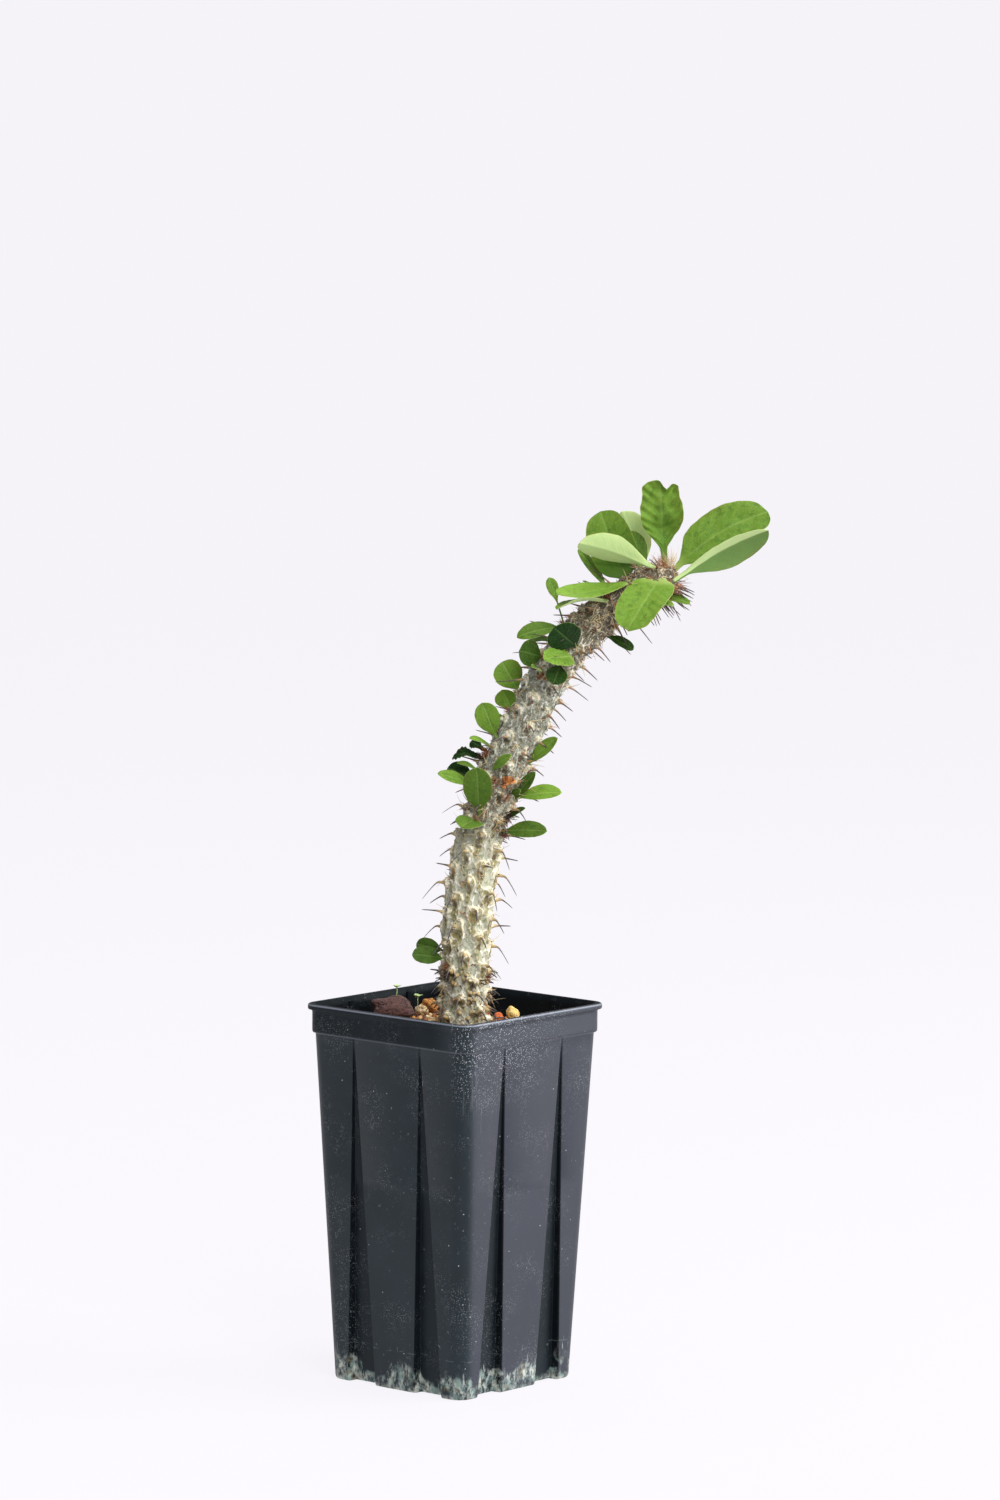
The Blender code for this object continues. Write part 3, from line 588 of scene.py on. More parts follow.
class Growth(Wiring):
    """A Geometry Nodes tree with named inputs."""

    def __init__(self, name, inputs):
        super().__init__(bpy.data.node_groups.new(name, "GeometryNodeTree"))
        face = self.tree.interface
        face.new_socket(name="Geometry", in_out="INPUT", socket_type="NodeSocketGeometry")
        for key, (kind, value) in inputs.items():
            socket = face.new_socket(name=key, in_out="INPUT", socket_type=f"NodeSocket{kind}")
            if value is not None:
                socket.default_value = value
        face.new_socket(name="Geometry", in_out="OUTPUT", socket_type="NodeSocketGeometry")
        self.group_in = self.tree.nodes.new("NodeGroupInput")
        self.group_out = self.tree.nodes.new("NodeGroupOutput")

    def given(self, name):
        return Wire(self, self.group_in.outputs[name])

    def named(self, name, kind="FLOAT"):
        return self.node("GeometryNodeInputNamedAttribute", {"data_type": kind}, {"Name": name})

    def store(self, geometry, name, value, domain="POINT", kind="FLOAT"):
        return self.node(
            "GeometryNodeStoreNamedAttribute",
            {"data_type": kind, "domain": domain},
            {"Geometry": geometry, "Name": name, "Value": value},
        )

    def chance(self, low, high, seed, kind="FLOAT"):
        sockets = {"Min": low, "Max": high, "Seed": seed}
        return self.node("FunctionNodeRandomValue", {"data_type": kind}, sockets)

    def needle(self, foot, tip, sides, steps, flare):
        """A straight tapering needle one unit long; its attribute run goes from 0 to 1 along it."""
        line = self.node("GeometryNodeCurvePrimitiveLine", None, {"Start": (0, 0, 0), "End": (0, 0, 1)})
        line = self.node("GeometryNodeResampleCurve", None, {"Curve": line, "Count": steps})
        run = self.node("GeometryNodeSplineParameter")
        line = self.store(line, "run", run)
        left = 1.0 - run
        girth = tip + (foot - tip) * left + foot * flare * left**5.0
        radius = girth * ((left * 9.0).least(1.0) ** 0.6 + 0.02)
        ring = self.node("GeometryNodeCurvePrimitiveCircle", None, {"Resolution": sides, "Radius": 1.0})
        return self.node(
            "GeometryNodeCurveToMesh",
            None,
            {"Curve": line, "Profile Curve": ring, "Scale": radius, "Fill Caps": True},
        )

    def aimed(self, points, shape, aim, size):
        turned = self.node("FunctionNodeAlignRotationToVector", {"axis": "Z"}, {"Vector": aim})
        return self.node(
            "GeometryNodeInstanceOnPoints",
            None,
            {"Points": points, "Instance": shape, "Rotation": turned, "Scale": size},
        )

    def finish(self, instances, sag=None):
        """Makes the instances real, lets their tips sag, and gives them their material."""
        real = self.node("GeometryNodeRealizeInstances", None, {"Geometry": instances})
        if sag:
            real = self.node("GeometryNodeSetPosition", None, {"Geometry": real, "Offset": sag})
        sockets = {"Geometry": real, "Material": self.given("Material")}
        real = self.node("GeometryNodeSetMaterial", None, sockets)
        self.feed(self.group_out.inputs[0], real)
        return self.tree


def grown(name, source, tree, inputs):
    """Runs a tree on an object and keeps its result as a plain mesh."""
    modifier = source.modifiers.new(tree.name, "NODES")
    modifier.node_group = tree
    for item in tree.interface.items_tree:
        if item.in_out == "INPUT" and item.name in inputs:
            modifier[item.identifier] = inputs[item.name]
    graph = bpy.context.evaluated_depsgraph_get()
    graph.update()
    mesh = bpy.data.meshes.new_from_object(source.evaluated_get(graph), depsgraph=graph)
    mesh.name = name
    source.modifiers.remove(modifier)
    made = bpy.data.objects.new(name, mesh)
    bpy.context.scene.collection.objects.link(made)
    if len(mesh.polygons) == 0:
        raise RuntimeError(f"{name} came out empty")
    return made


def discard(*objects):
    for obj in objects:
        bpy.data.objects.remove(obj, do_unlink=True)


# ---------------------------------------------------------------- meshes


def to_row(point):
    """A point (s, d, z) of the lean frame, in the pot's own frame."""
    s, d, z = point
    cos, sin = math.cos(LEAN_HEADING), math.sin(LEAN_HEADING)
    return Vector((s * cos - d * sin, s * sin + d * cos, z))


def rows_to_row(points):
    """The same for an array of points."""
    cos, sin = math.cos(LEAN_HEADING), math.sin(LEAN_HEADING)
    turned = np.array(points, float)
    turned[..., 0] = points[..., 0] * cos - points[..., 1] * sin
    turned[..., 1] = points[..., 0] * sin + points[..., 1] * cos
    return turned


def put(name, mesh, material, smooth_angle=None):
    mesh.name = name
    mesh.materials.append(material)
    mesh.shade_smooth()
    if smooth_angle:
        mesh.set_sharp_from_angle(angle=math.radians(smooth_angle))
    obj = bpy.data.objects.new(name, mesh)
    bpy.context.scene.collection.objects.link(obj)
    return obj


def facing_out(mesh):
    shape = bmesh.new()
    shape.from_mesh(mesh)
    bmesh.ops.recalc_face_normals(shape, faces=shape.faces)
    if shape.calc_volume(signed=True) < 0:
        bmesh.ops.reverse_faces(shape, faces=shape.faces)
    shape.to_mesh(mesh)
    shape.free()
    return mesh


def tube(rings):
    """A closed skin through an array of rings (ring, point, xyz), in millimetres."""
    count, around = rings.shape[:2]
    index = np.arange(count * around).reshape(count, around)
    here, there = index[:-1], index[1:]
    quads = np.stack([here, np.roll(here, -1, 1), np.roll(there, -1, 1), there], -1).reshape(-1, 4)
    faces = quads.tolist() + [index[0][::-1].tolist(), index[-1].tolist()]
    mesh = bpy.data.meshes.new("tube")
    mesh.from_pydata((rings.reshape(-1, 3) * MM).tolist(), [], faces)
    return facing_out(mesh)


def store_values(mesh, name, values, kind="FLOAT"):
    attribute = mesh.attributes.new(name, kind, "POINT")
    field = "vector" if kind == "FLOAT_VECTOR" else "value"
    attribute.data.foreach_set(field, np.ravel(values).astype(np.float32))


def keep(piece, slot, *nodes):
    """Makes a finished object a piece of the part that stands for these nodes of the frame."""
    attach(piece, BODY)
    if nodes:
        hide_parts(*nodes)


# ---------------------------------------------------------------- pot


def groove_profile(width, depth, slant, half):
    """Points across one groove: a flat floor between two steep walls with rounded edges."""
    wall = [(0.0, 0.0), (0.12, 0.03), (0.3, 0.2), (0.5, 0.5), (0.7, 0.8), (0.88, 0.97), (1.0, 1.0)]
    left = [(-width / 2 + slant * across, half - depth * down) for across, down in wall]
    right = [(-x, y) for x, y in reversed(left)]
    return left + right


def pot_outline(half, radius, z, groove_share=None, wall_shift=0.0, settings=None):
    """One ring of the pot: a square with round corners and two grooves in each side."""
    grown_share = groove_share or 0.0
    full_width = settings.groove_width / MM if settings else GROOVE_WIDTH
    full_depth = settings.groove_depth / MM if settings else GROOVE_DEPTH
    width = GROOVE_TIP_WIDTH + (full_width - GROOVE_TIP_WIDTH) * grown_share + 2 * wall_shift
    depth = GROOVE_TIP_DEPTH + (full_depth - GROOVE_TIP_DEPTH) * grown_share**0.6
    if groove_share is None:
        depth = 0.0
    slant = min(GROOVE_SLANT, width / 4)
    side = []
    for middle in (-GROOVE_OFFSET, GROOVE_OFFSET):
        side += [(middle + x, y) for x, y in groove_profile(width, depth, slant, half)]
    centre = half - radius
    for step in range(CORNER_STEPS):
        angle = math.pi / 2 * step / (CORNER_STEPS - 1)
        side.append((centre + radius * math.sin(angle), centre + radius * math.cos(angle)))
    ring = []
    for turn in (0.0, -math.pi / 2, -math.pi, -1.5 * math.pi):
        cos, sin = math.cos(turn), math.sin(turn)
        ring += [(x * cos - y * sin, x * sin + y * cos, z) for x, y in side]
    return ring


def body_half(z):
    return BASE_HALF + (BODY_TOP_HALF - BASE_HALF) * z / (POT_HEIGHT - BAND_HEIGHT)


def groove_at(z):
    return max(0.0, 1.0 - z / (POT_HEIGHT - BAND_HEIGHT))


def inner_ring(z, gap=0.0, settings=None):
    wall = settings.wall / MM if settings else WALL
    half = body_half(min(z, POT_HEIGHT - BAND_HEIGHT)) - wall - gap
    rib = max(groove_at(z), INNER_RIB)
    return pot_outline(half, CORNER_RADIUS - wall - gap, z, rib, wall * 0.8 + gap, settings)


def pot_rings(settings):
    """The pot's skin from the middle of its foot, up the outside, over the lip and down the inside."""
    band_z = POT_HEIGHT - BAND_HEIGHT
    lip_z = POT_HEIGHT - LIP_HEIGHT
    radius = CORNER_RADIUS
    rings = []
    for inset, z in ((1.4, 0.0), (0.75, 0.12), (0.3, 0.45), (0.08, 0.9)):
        rings.append(pot_outline(body_half(z) - inset, radius - inset, z, groove_at(z), 0.0, settings))
    for step in range(BODY_RINGS + 1):
        z = 1.5 + (band_z - 1.9) * step / BODY_RINGS
        rings.append(pot_outline(body_half(z), radius, z, groove_at(z), 0.0, settings))
    outside = [
        (BODY_TOP_HALF + 0.1, band_z - 0.12),
        (BAND_HALF - 0.45, band_z + 0.05),
        (BAND_HALF - 0.12, band_z + 0.35),
        (BAND_HALF - 0.02, band_z + 0.9),
        (BAND_HALF, band_z + 2.0),
        (BAND_HALF, lip_z - 1.6),
        (BAND_HALF + 0.04, lip_z - 0.7),
        (BAND_HALF + 0.3, lip_z - 0.2),
        (LIP_HALF - 0.5, lip_z),
        (LIP_HALF - 0.15, lip_z + 0.12),
        (LIP_HALF, lip_z + 0.45),
        (LIP_HALF, POT_HEIGHT - 0.75),
        (LIP_HALF - 0.1, POT_HEIGHT - 0.35),
        (LIP_HALF - 0.35, POT_HEIGHT - 0.1),
        (LIP_HALF - 0.75, POT_HEIGHT),
        (BAND_HALF - 0.75, POT_HEIGHT),
        (BAND_HALF - 1.0, POT_HEIGHT - 0.1),
        (BAND_HALF - 1.15, POT_HEIGHT - 0.4),
    ]
    for half, z in outside:
        rings.append(pot_outline(half, radius + min(0.0, half - BAND_HALF), z, None, 0.0, settings))
    down = (POT_HEIGHT - 1.6, POT_HEIGHT - 3.2, POT_HEIGHT - 7.0, band_z, 120.0, 80.0, 40.0, 4.0, FLOOR + 0.5)
    for z in down:
        rings.append(inner_ring(z, 0.0, settings))
    rings.append(inner_ring(FLOOR, 0.5, settings))
    return np.array(rings)


def plastic_finish(pot):
    """Dull black moulded plastic: rubbed haze, fine scratches, dried splashes and lime at the foot, with
    painted shade in the grooves and inside, a painted highlight on the lip's edge and a painted sheen on the
    right face.
    """
    paint = Finish("pot_plastic_dull", specular_ior_level=0.44, specular_tint=(0.8, 0.95, 1.0))
    x, y, z = paint.axes(paint.place)
    band_z, lip_z = POT_HEIGHT - BAND_HEIGHT, POT_HEIGHT - LIP_HEIGHT
    skin = BASE_HALF + (BODY_TOP_HALF - BASE_HALF) / band_z * z.least(band_z)
    skin = skin + paint.step(z, band_z - 0.1, band_z + 0.3) * (BAND_HALF - BODY_TOP_HALF)
    skin = skin + paint.step(z, lip_z - 0.3, lip_z + 0.1) * (LIP_HALF - BAND_HALF)
    past_x, past_y = abs(x) - skin + CORNER_RADIUS, abs(y) - skin + CORNER_RADIUS
    rounded = (past_x.most(0.0) ** 2.0 + past_y.most(0.0) ** 2.0) ** 0.5
    sunk = (rounded + past_x.most(past_y).least(0.0)) * -1.0 + CORNER_RADIUS
    floor_depth = (1.0 - z / band_z).most(0.0) ** 0.6 * GROOVE_DEPTH
    # Painted shade: the groove walls, the inside of the pot from 112 mm up, the band under the lip on the
    # left face and every recess are masked here to be painted near black and duller.
    groove_wall = paint.step(sunk, 0.1, 0.4) * paint.step(floor_depth - sunk, 0.0, 0.4)
    inside = paint.step(sunk, 0.35, 1.2) * paint.step(z, 112.0, 136.0)
    band_face = paint.step(z, band_z, band_z + 1.0) * paint.step(y, -34.0, -40.0) * paint.step(x, 38.0, 24.0)
    painted_recess_shade = groove_wall.most(inside).most(band_face * 0.6).most(paint.step(sunk, 0.35, 1.6) * 0.38)
    broad = paint.cloud(28.0, 3.0)
    grain = paint.cloud(0.35, 2.0)
    patch = paint.cloud(7.0, 5.0, rough=0.7)
    base = paint.mix(paint.step(broad, 0.35, 0.7) * 0.3, tuple(pot.plastic), tuple(pot.haze))
    base = paint.mix(paint.step(patch, 0.52, 0.8) * 0.3, base, tuple(pot.haze))
    # Painted sheen: the right face is painted lighter and purplish, standing in for the reflection of the key
    # light.
    painted_sheen_side = paint.step(x - skin, -1.2, -0.3) * paint.step(y + skin, 3.0, 9.0)
    base = paint.mix(painted_sheen_side * 0.5, base, shade(58, 56, 68))

    scratch_field = paint.cloud(13.0, 1.0, stretch=(1.0, 1.0, 1.6), twist=0.6)
    scratch = paint.step(abs(scratch_field - 0.5), 0.0016, 0.0004)
    scratch = scratch * paint.step(paint.cloud(19.0, 2.0), 0.54, 0.62)
    tick_field = paint.cloud(2.2, 1.0, stretch=(1.0, 1.0, 2.4), twist=1.2)
    ticks = paint.step(abs(tick_field - 0.5), 0.012, 0.003)
    ticks = ticks * paint.step(paint.cloud(2.6, 1.0), 0.66, 0.7)

    jitter = paint.node("ShaderNodeTexNoise", None, {"Vector": paint.place, "Scale": 0.4}, "Color")
    drop_place = paint.vector("ADD", paint.place, jitter)
    dots = paint.specks(0.8, (0.26, 0.18), (0.62, 0.66), 0, drop_place)
    small = paint.specks(0.5, (0.34, 0.24), (0.62, 0.68), 1, drop_place)
    sunny = paint.step(x, 33.0, 41.0) * paint.step(y, 30.0, -20.0) * paint.step(z, 116.0, 150.0)
    sparse = paint.step(paint.cloud(20.0, 3.0), 0.42, 0.75) * 0.3
    lone = paint.specks(2.7, (0.12, 0.07), (0.93, 0.95), 2)
    splash = ((dots + small).least(1.0) * (sunny * pot.splash + sparse).least(1.0)).most(lone * 0.6)

    drip_field = paint.cloud(0.9, 1.0, stretch=(1.0, 1.0, 60.0))
    corner = paint.step(x, 36.0, 41.0) * paint.step(y, -18.0, -34.0) * paint.step(z, 60.0, 110.0)
    drips = paint.step(drip_field, 0.6, 0.72) * corner
    drips = drips * paint.step(paint.cloud(16.0, 2.0), 0.4, 0.6) * 0.14

    fan = paint.cloud(2.6, 5.0, stretch=(1.0, 1.0, 1.7), rough=0.72)
    sheet = paint.cloud(11.0, 2.0)
    tide = paint.step(sheet, 0.36, 0.62) * 12.0
    low = paint.step(z, tide + 2.5, tide - 5.0)
    crust = paint.step(fan, 0.40, 0.62) * low
    crust = crust.most(paint.step(fan, 0.36, 0.6) * paint.step(z, 3.2, 0.6))
    runs = paint.cloud(1.1, 2.0, stretch=(1.0, 1.0, 9.0))
    crust = crust.most(paint.step(runs, 0.62, 0.7) * paint.step(z, tide * 1.5 + 3.0, tide) * 0.7)
    line = paint.step(abs(z - 15.0 - paint.cloud(12.0, 2.0) * 3.0), 0.35, 0.1)
    line = line * paint.step(paint.cloud(4.0, 3.0), 0.52, 0.6) * 0.2
    lime_tone = paint.mix(paint.step(paint.cloud(4.0, 2.0), 0.36, 0.6), tuple(pot.lime), shade(132, 152, 146))
    earthy = paint.step(paint.cloud(6.0, 2.0, at=paint.shifted(3.0, 7.0, 5.0)), 0.58, 0.7)
    lime_tone = paint.mix(earthy, lime_tone, shade(138, 130, 104))

    # Painted highlight: a pale line along the lip's outer top edge and a fainter one at the foot of the band.
    painted_edge_highlight = paint.step(z, POT_HEIGHT - 0.9, POT_HEIGHT - 0.5) * paint.step(sunk, 0.5, 0.15) * 0.5
    painted_edge_highlight = painted_edge_highlight.most(paint.step(abs(z - POT_HEIGHT + BAND_HEIGHT), 0.5, 0.2) * 0.2)
    # Painted shade, near black, in the grooves, inside the pot and under the lip.
    base = paint.mix(painted_recess_shade * 0.7, base, shade(5, 9, 12))
    base = paint.mix(painted_edge_highlight, base, shade(148, 152, 166))
    base = paint.mix(scratch * 0.4, base, shade(110, 116, 124))
    base = paint.mix(ticks * 0.5, base, shade(150, 156, 162))
    base = paint.mix(splash * 0.9, base, shade(206, 208, 214))
    base = paint.mix(drips, base, shade(130, 134, 140))
    base = paint.mix((crust + line).least(1.0) * 0.8, base, lime_tone)
    roughness = 0.4 + broad * 0.14 + crust * 0.4 + splash * 0.2
    height = grain * 0.25 + crust * 0.8 + splash * 0.5 - scratch * 0.3 + paint.cloud(3.0, 3.0) * 0.5
    normal = paint.bump(height, 0.35, 0.12)
    # The painted-shade areas also get a duller surface that reflects less.
    paint.dull_where(painted_recess_shade * 0.85, base, 0.85, 0.08, normal)
    return paint.done(base, roughness.least(1.0), normal)


# ---------------------------------------------------------------- mix, stones and seedlings


def mix_height(x, y):
    """Height of the mix: a mound round the stem, a bank towards the back and small lumps."""
    foot = to_row((3.0, 0.0, 0.0))
    bank = to_row((*MIX_BANK_SPOT, 0.0))
    mound = math.exp(-((x - foot.x) ** 2 + (y - foot.y) ** 2) / MIX_MOUND_RADIUS**2)
    back = math.exp(-((x - bank.x) ** 2 + (y - bank.y) ** 2) / MIX_BANK_RADIUS**2)
    lumps = noise.noise(Vector((x * 0.16, y * 0.16, 7.0)))
    return MIX_EDGE_Z + MIX_MOUND * mound + MIX_BANK * back + MIX_LUMP * lumps


def mix_rings():
    """The mix fills the pot; its surface is rings drawn in from the wall to the stem."""
    neck = to_row((*STEM_PATH[1][:2], 0.0))
    levels = (FLOOR + MIX_GAP, 40.0, 80.0, 120.0, MIX_EDGE_Z - 1.0)
    rings = [inner_ring(z, MIX_GAP) for z in levels]
    outer = np.array(inner_ring(MIX_EDGE_Z, MIX_GAP))
    angles = np.arctan2(outer[:, 1] - neck.y, outer[:, 0] - neck.x)
    inner = np.stack([np.cos(angles), np.sin(angles)], -1) * MIX_NECK_RADIUS + (neck.x, neck.y)
    for step in range(MIX_RINGS + 1):
        inward = step / MIX_RINGS
        ring = []
        for (x0, y0, _), (x1, y1) in zip(outer, inner):
            x, y = x0 + (x1 - x0) * inward, y0 + (y1 - y0) * inward
            crumb = 0.5 * noise.fractal(Vector((x * 0.55, y * 0.55, 3.0)), 0.6, 2.2, 4)
            ring.append((x, y, mix_height(x, y) + crumb))
        rings.append(ring)
    rings.append([(x, y, MIX_EDGE_Z - 6.0) for x, y in inner])
    return np.array(rings)


def grit_finish(name, dark, light, fleck, pore_size, bump=0.6):
    """Porous rock: two tones, pores painted darker as painted shade in their hollows, and pale flecks; grains
    vary by their attribute tint.
    """
    paint = Finish(name)
    tint = paint.attribute("tint")
    spread = paint.cloud(pore_size * 2.2, 4.0, rough=0.65)
    pores = paint.cells(pore_size)
    base = paint.mix(paint.step(spread, 0.32, 0.68), dark, light)
    # Painted shade: the pores, the low spots of the bump, are painted darker.
    base = paint.mix(paint.step(pores, 0.3, 0.12) * 0.75, base, scaled(dark, 0.35))
    base = paint.mix(paint.step(paint.cloud(pore_size * 0.8, 2.0), 0.62, 0.74) * 0.5, base, fleck)
    base = paint.mix(tint * 0.5, base, scaled(dark, 0.4))
    height = paint.step(pores, 0.05, 0.45) + spread * 0.8
    return paint.done(base, 0.86 + spread * 0.1, paint.bump(height, bump, pore_size * 0.5))


def grain_finish(mix):
    """Loose grains: each takes its own tone, from dark soil through lava and tan to gold pumice."""
    paint = Finish("mix_grains")
    tint = paint.attribute("tint")
    tones = [
        (0.0, shade(60, 44, 36)),
        (0.22, tuple(mix.soil)),
        (0.4, shade(128, 82, 62)),
        (0.56, shade(186, 116, 62)),
        (0.74, tuple(mix.gold)),
        (0.92, shade(226, 206, 164)),
    ]
    base = paint.node("ShaderNodeValToRGB", {"stops": tones}, {0: tint})
    spots = paint.cloud(0.5, 4.0, rough=0.7)
    base = paint.mix(paint.step(spots, 0.5, 0.7) * 0.5, base, shade(40, 30, 26))
    base = paint.mix(paint.step(spots, 0.42, 0.3) * 0.35, base, shade(214, 190, 150))
    return paint.done(base, 0.9, paint.bump(spots, 0.5, 0.3))


def grains_tree():
    """Grains of many sizes scattered over a surface."""
    tree = Growth(
        "grains",
        {
            "Spacing": ("Float", 0.001),
            "Grain": ("Float", 0.001),
            "Seed": ("Int", 1),
            "Material": ("Material", None),
        },
    )
    points = tree.tree.nodes.new("GeometryNodeDistributePointsOnFaces")
    points.distribute_method = "POISSON"
    sockets = {
        "Mesh": tree.given("Geometry"),
        "Distance Min": tree.given("Spacing"),
        "Density Max": 900000.0,
        "Density Factor": tree.named("open"),
        "Seed": tree.given("Seed"),
    }
    for key, value in sockets.items():
        tree.feed(tree.pick(points.inputs, key), value)
    ball = tree.node("GeometryNodeMeshUVSphere", None, {"Segments": 7, "Rings": 5, "Radius": 0.5})
    dent = tree.node("ShaderNodeTexNoise", None, {"Scale": 2.4, "Detail": 1.0}, "Color")
    dent = tree.vector("MULTIPLY", tree.vector("SUBTRACT", dent, (0.5, 0.5, 0.5)), (0.8, 0.8, 0.8))
    ball = tree.node("GeometryNodeSetPosition", None, {"Geometry": ball, "Offset": dent})
    spin = tree.chance((0.0, 0.0, 0.0), (6.28, 6.28, 6.28), 11, "FLOAT_VECTOR")
    size = tree.chance(0.35, 1.5, 12)
    squash = tree.chance((0.8, 0.7, 0.55), (1.3, 1.1, 0.95), 13, "FLOAT_VECTOR")
    size = tree.times(tree.vector("MULTIPLY", tree.triple(size, size, size), squash), tree.given("Grain"))
    grains = tree.node(
        "GeometryNodeInstanceOnPoints",
        None,
        {"Points": Wire(tree, points.outputs["Points"]), "Instance": ball, "Rotation": spin, "Scale": size},
    )
    grains = tree.store(grains, "tint", tree.chance(0.0, 1.0, 14), "INSTANCE")
    return tree.finish(grains)


def stone_lump(way, seed):
    """How far the broad lumps of a stone push its skin out on one side."""
    return 1.0 + 0.34 * noise.noise(way * 2.6 + Vector((seed, 0.0, 0.0)))


def stone_shape(size, seed):
    """A craggy stone: broad lumps, edges and small pores."""
    shape = bmesh.new()
    bmesh.ops.create_icosphere(shape, subdivisions=5, radius=0.5)
    for vertex in shape.verts:
        way = vertex.co.copy()
        bump = stone_lump(way, seed)
        crag = abs(noise.noise(way * 6.0 + Vector((0.0, seed, 0.0))))
        fine = noise.fractal(way * 16.0 + Vector((0.0, 0.0, seed)), 0.7, 2.1, 3)
        bump += 0.10 * (0.3 - crag) + 0.035 * fine
        vertex.co = Vector([part * bump * side for part, side in zip(way, size)])
    return shape


def stone_spot(s, d, size, seed):
    """Where a stone's middle rests: over the highest mix beneath it."""
    rough = bmesh.new()
    bmesh.ops.create_icosphere(rough, subdivisions=2, radius=0.5)
    low = 0.0
    for vertex in rough.verts:
        low = min(low, vertex.co.z * stone_lump(vertex.co, seed) * size[2])
    rough.free()
    centre = to_row((s, d, 0.0))
    reach = max(size) / 2
    steps = [reach * part / 2 for part in (-2, -1, 0, 1, 2)]
    top = max(mix_height(centre.x + x, centre.y + y) for x in steps for y in steps)
    return Vector((centre.x, centre.y, top + 0.2 - low))


def clover(name, foot, low_z, height, reach):
    """A seedling: a bent stalk with three notched leaflets."""
    shape = bmesh.new()

    def add_rings(rings):
        rows = [[shape.verts.new(point) for point in ring] for ring in rings]
        for here, there in zip(rows, rows[1:]):
            for i in range(len(here)):
                j = (i + 1) % len(here)
                shape.faces.new((here[i], here[j], there[j], there[i]))
        shape.faces.new(rows[0][::-1])
        shape.faces.new(rows[-1])

    around = np.linspace(0, math.tau, 8, False)
    stalk = []
    for step in range(9):
        up = step / 8
        centre = Vector((foot.x + 0.5 * math.sin(up * 2.2), foot.y, low_z - 0.8 + (height + 0.8) * up))
        width = 0.24 - 0.08 * up
        stalk.append([centre + Vector((math.cos(a) * width, math.sin(a) * width, 0)) for a in around])
    add_rings(stalk)
    top = centre.copy()
    for leaflet in range(3):
        heading = math.tau * leaflet / 3 + 0.5
        ahead = Vector((math.cos(heading), math.sin(heading), 0.55)).normalized()
        side = Vector((-math.sin(heading), math.cos(heading), 0.0))
        up = ahead.cross(side)
        rings = []
        for step in range(11):
            run = step / 10
            half = reach * 0.52 * math.sin(math.pi * min(0.97, run**0.9 * 0.97 + 0.03)) ** 0.7
            ring = []
            for lane in range(9):
                v = 2 * lane / 8 - 1
                notch = 0.18 * math.exp(-((v / 0.4) ** 2)) * run**5
                spot = top + ahead * (reach * (run - notch)) + side * (v * half) + up * (0.22 * half * v * v)
                ring.append((spot, v))
            above = [spot + up * (0.10 * (1 - v * v) + 0.03) for spot, v in ring]
            below = [spot - up * 0.05 for spot, v in reversed(ring)]
            rings.append(above + below)
        add_rings(rings)
    mesh = bpy.data.meshes.new(name)
    bmesh.ops.recalc_face_normals(shape, faces=shape.faces)
    bmesh.ops.scale(shape, vec=(MM, MM, MM), verts=shape.verts)
    shape.to_mesh(mesh)
    shape.free()
    return mesh


# ---------------------------------------------------------------- stem


def smooth_path(points, steps):
    """A Catmull-Rom curve through the points."""
    points = [Vector(p) for p in points]
    ends = [2 * points[0] - points[1], *points, 2 * points[-1] - points[-2]]
    path = []
    for a, b, c, d in zip(ends, ends[1:], ends[2:], ends[3:]):
        for step in range(steps):
            t = step / steps
            bend = 2 * b + (c - a) * t + (2 * a - 5 * b + 4 * c - d) * t**2
            path.append(0.5 * (bend + (3 * b - a - 3 * c + d) * t**3))
    path.append(points[-1])
    return path


class Stem:
    """The stem's centre line, core and tubercles. Distances along it start at the mix's surface."""

    def __init__(self):
        self.path = smooth_path(STEM_PATH, PATH_STEPS)
        self.along = [0.0]
        for here, there in zip(self.path, self.path[1:]):
            self.along.append(self.along[-1] + (there - here).length)
        below = next(a for a, p in zip(self.along, self.path) if p.z >= SOIL_Z)
        self.along = [a - below for a in self.along]
        self.length = self.along[-1]
        count = int((self.length - 4 - TUBERCLE_START) / TUBERCLE_PITCH) + 1
        draw = random.Random(4)
        self.tubercles = []
        for k in range(count):
            height = TUBERCLE_START + k * TUBERCLE_PITCH + draw.uniform(-0.6, 0.6)
            turn = k * TUBERCLE_TURN + draw.uniform(-0.1, 0.1)
            self.tubercles.append((height, turn, draw.uniform(0.8, 1.15)))

    def frame(self, along):
        """Centre, right-hand normal, near normal and direction at a distance along the stem."""
        i = 1
        while i < len(self.path) - 1 and self.along[i] < along:
            i += 1
        t = (along - self.along[i - 1]) / (self.along[i] - self.along[i - 1])
        centre = self.path[i - 1].lerp(self.path[i], t)
        before = self.path[max(i - 2, 0)]
        after = self.path[min(i + 1, len(self.path) - 1)]
        direction = (after - before).normalized()
        right = direction.cross(Vector((0, -1, 0))).normalized()
        near = right.cross(direction).normalized()
        return centre, right, near, direction

    def core(self, along):
        heights, radii = zip(*STEM_RADII)
        radius = np.interp(along, heights, radii)
        over = np.clip((along - (self.length - DOME_LENGTH)) / DOME_LENGTH, 0, 1)
        return radius * np.sqrt(1.0 - over**2)

    def zone(self, along):
        """Tubercle height, half width, tail, arch, spine length, sag and thickness there."""
        table = np.array(STEM_ZONES)
        return [float(np.interp(along, table[:, 0], column)) for column in table.T[1:]]

    def spot(self, along, turn, off=0.0):
        """A point over the core and the way out of it there. Turn 0 is right, 90 degrees is near."""
        centre, right, near, direction = self.frame(along)
        out = right * math.cos(turn) + near * math.sin(turn)
        return centre + out * (float(self.core(along)) + off), out, direction


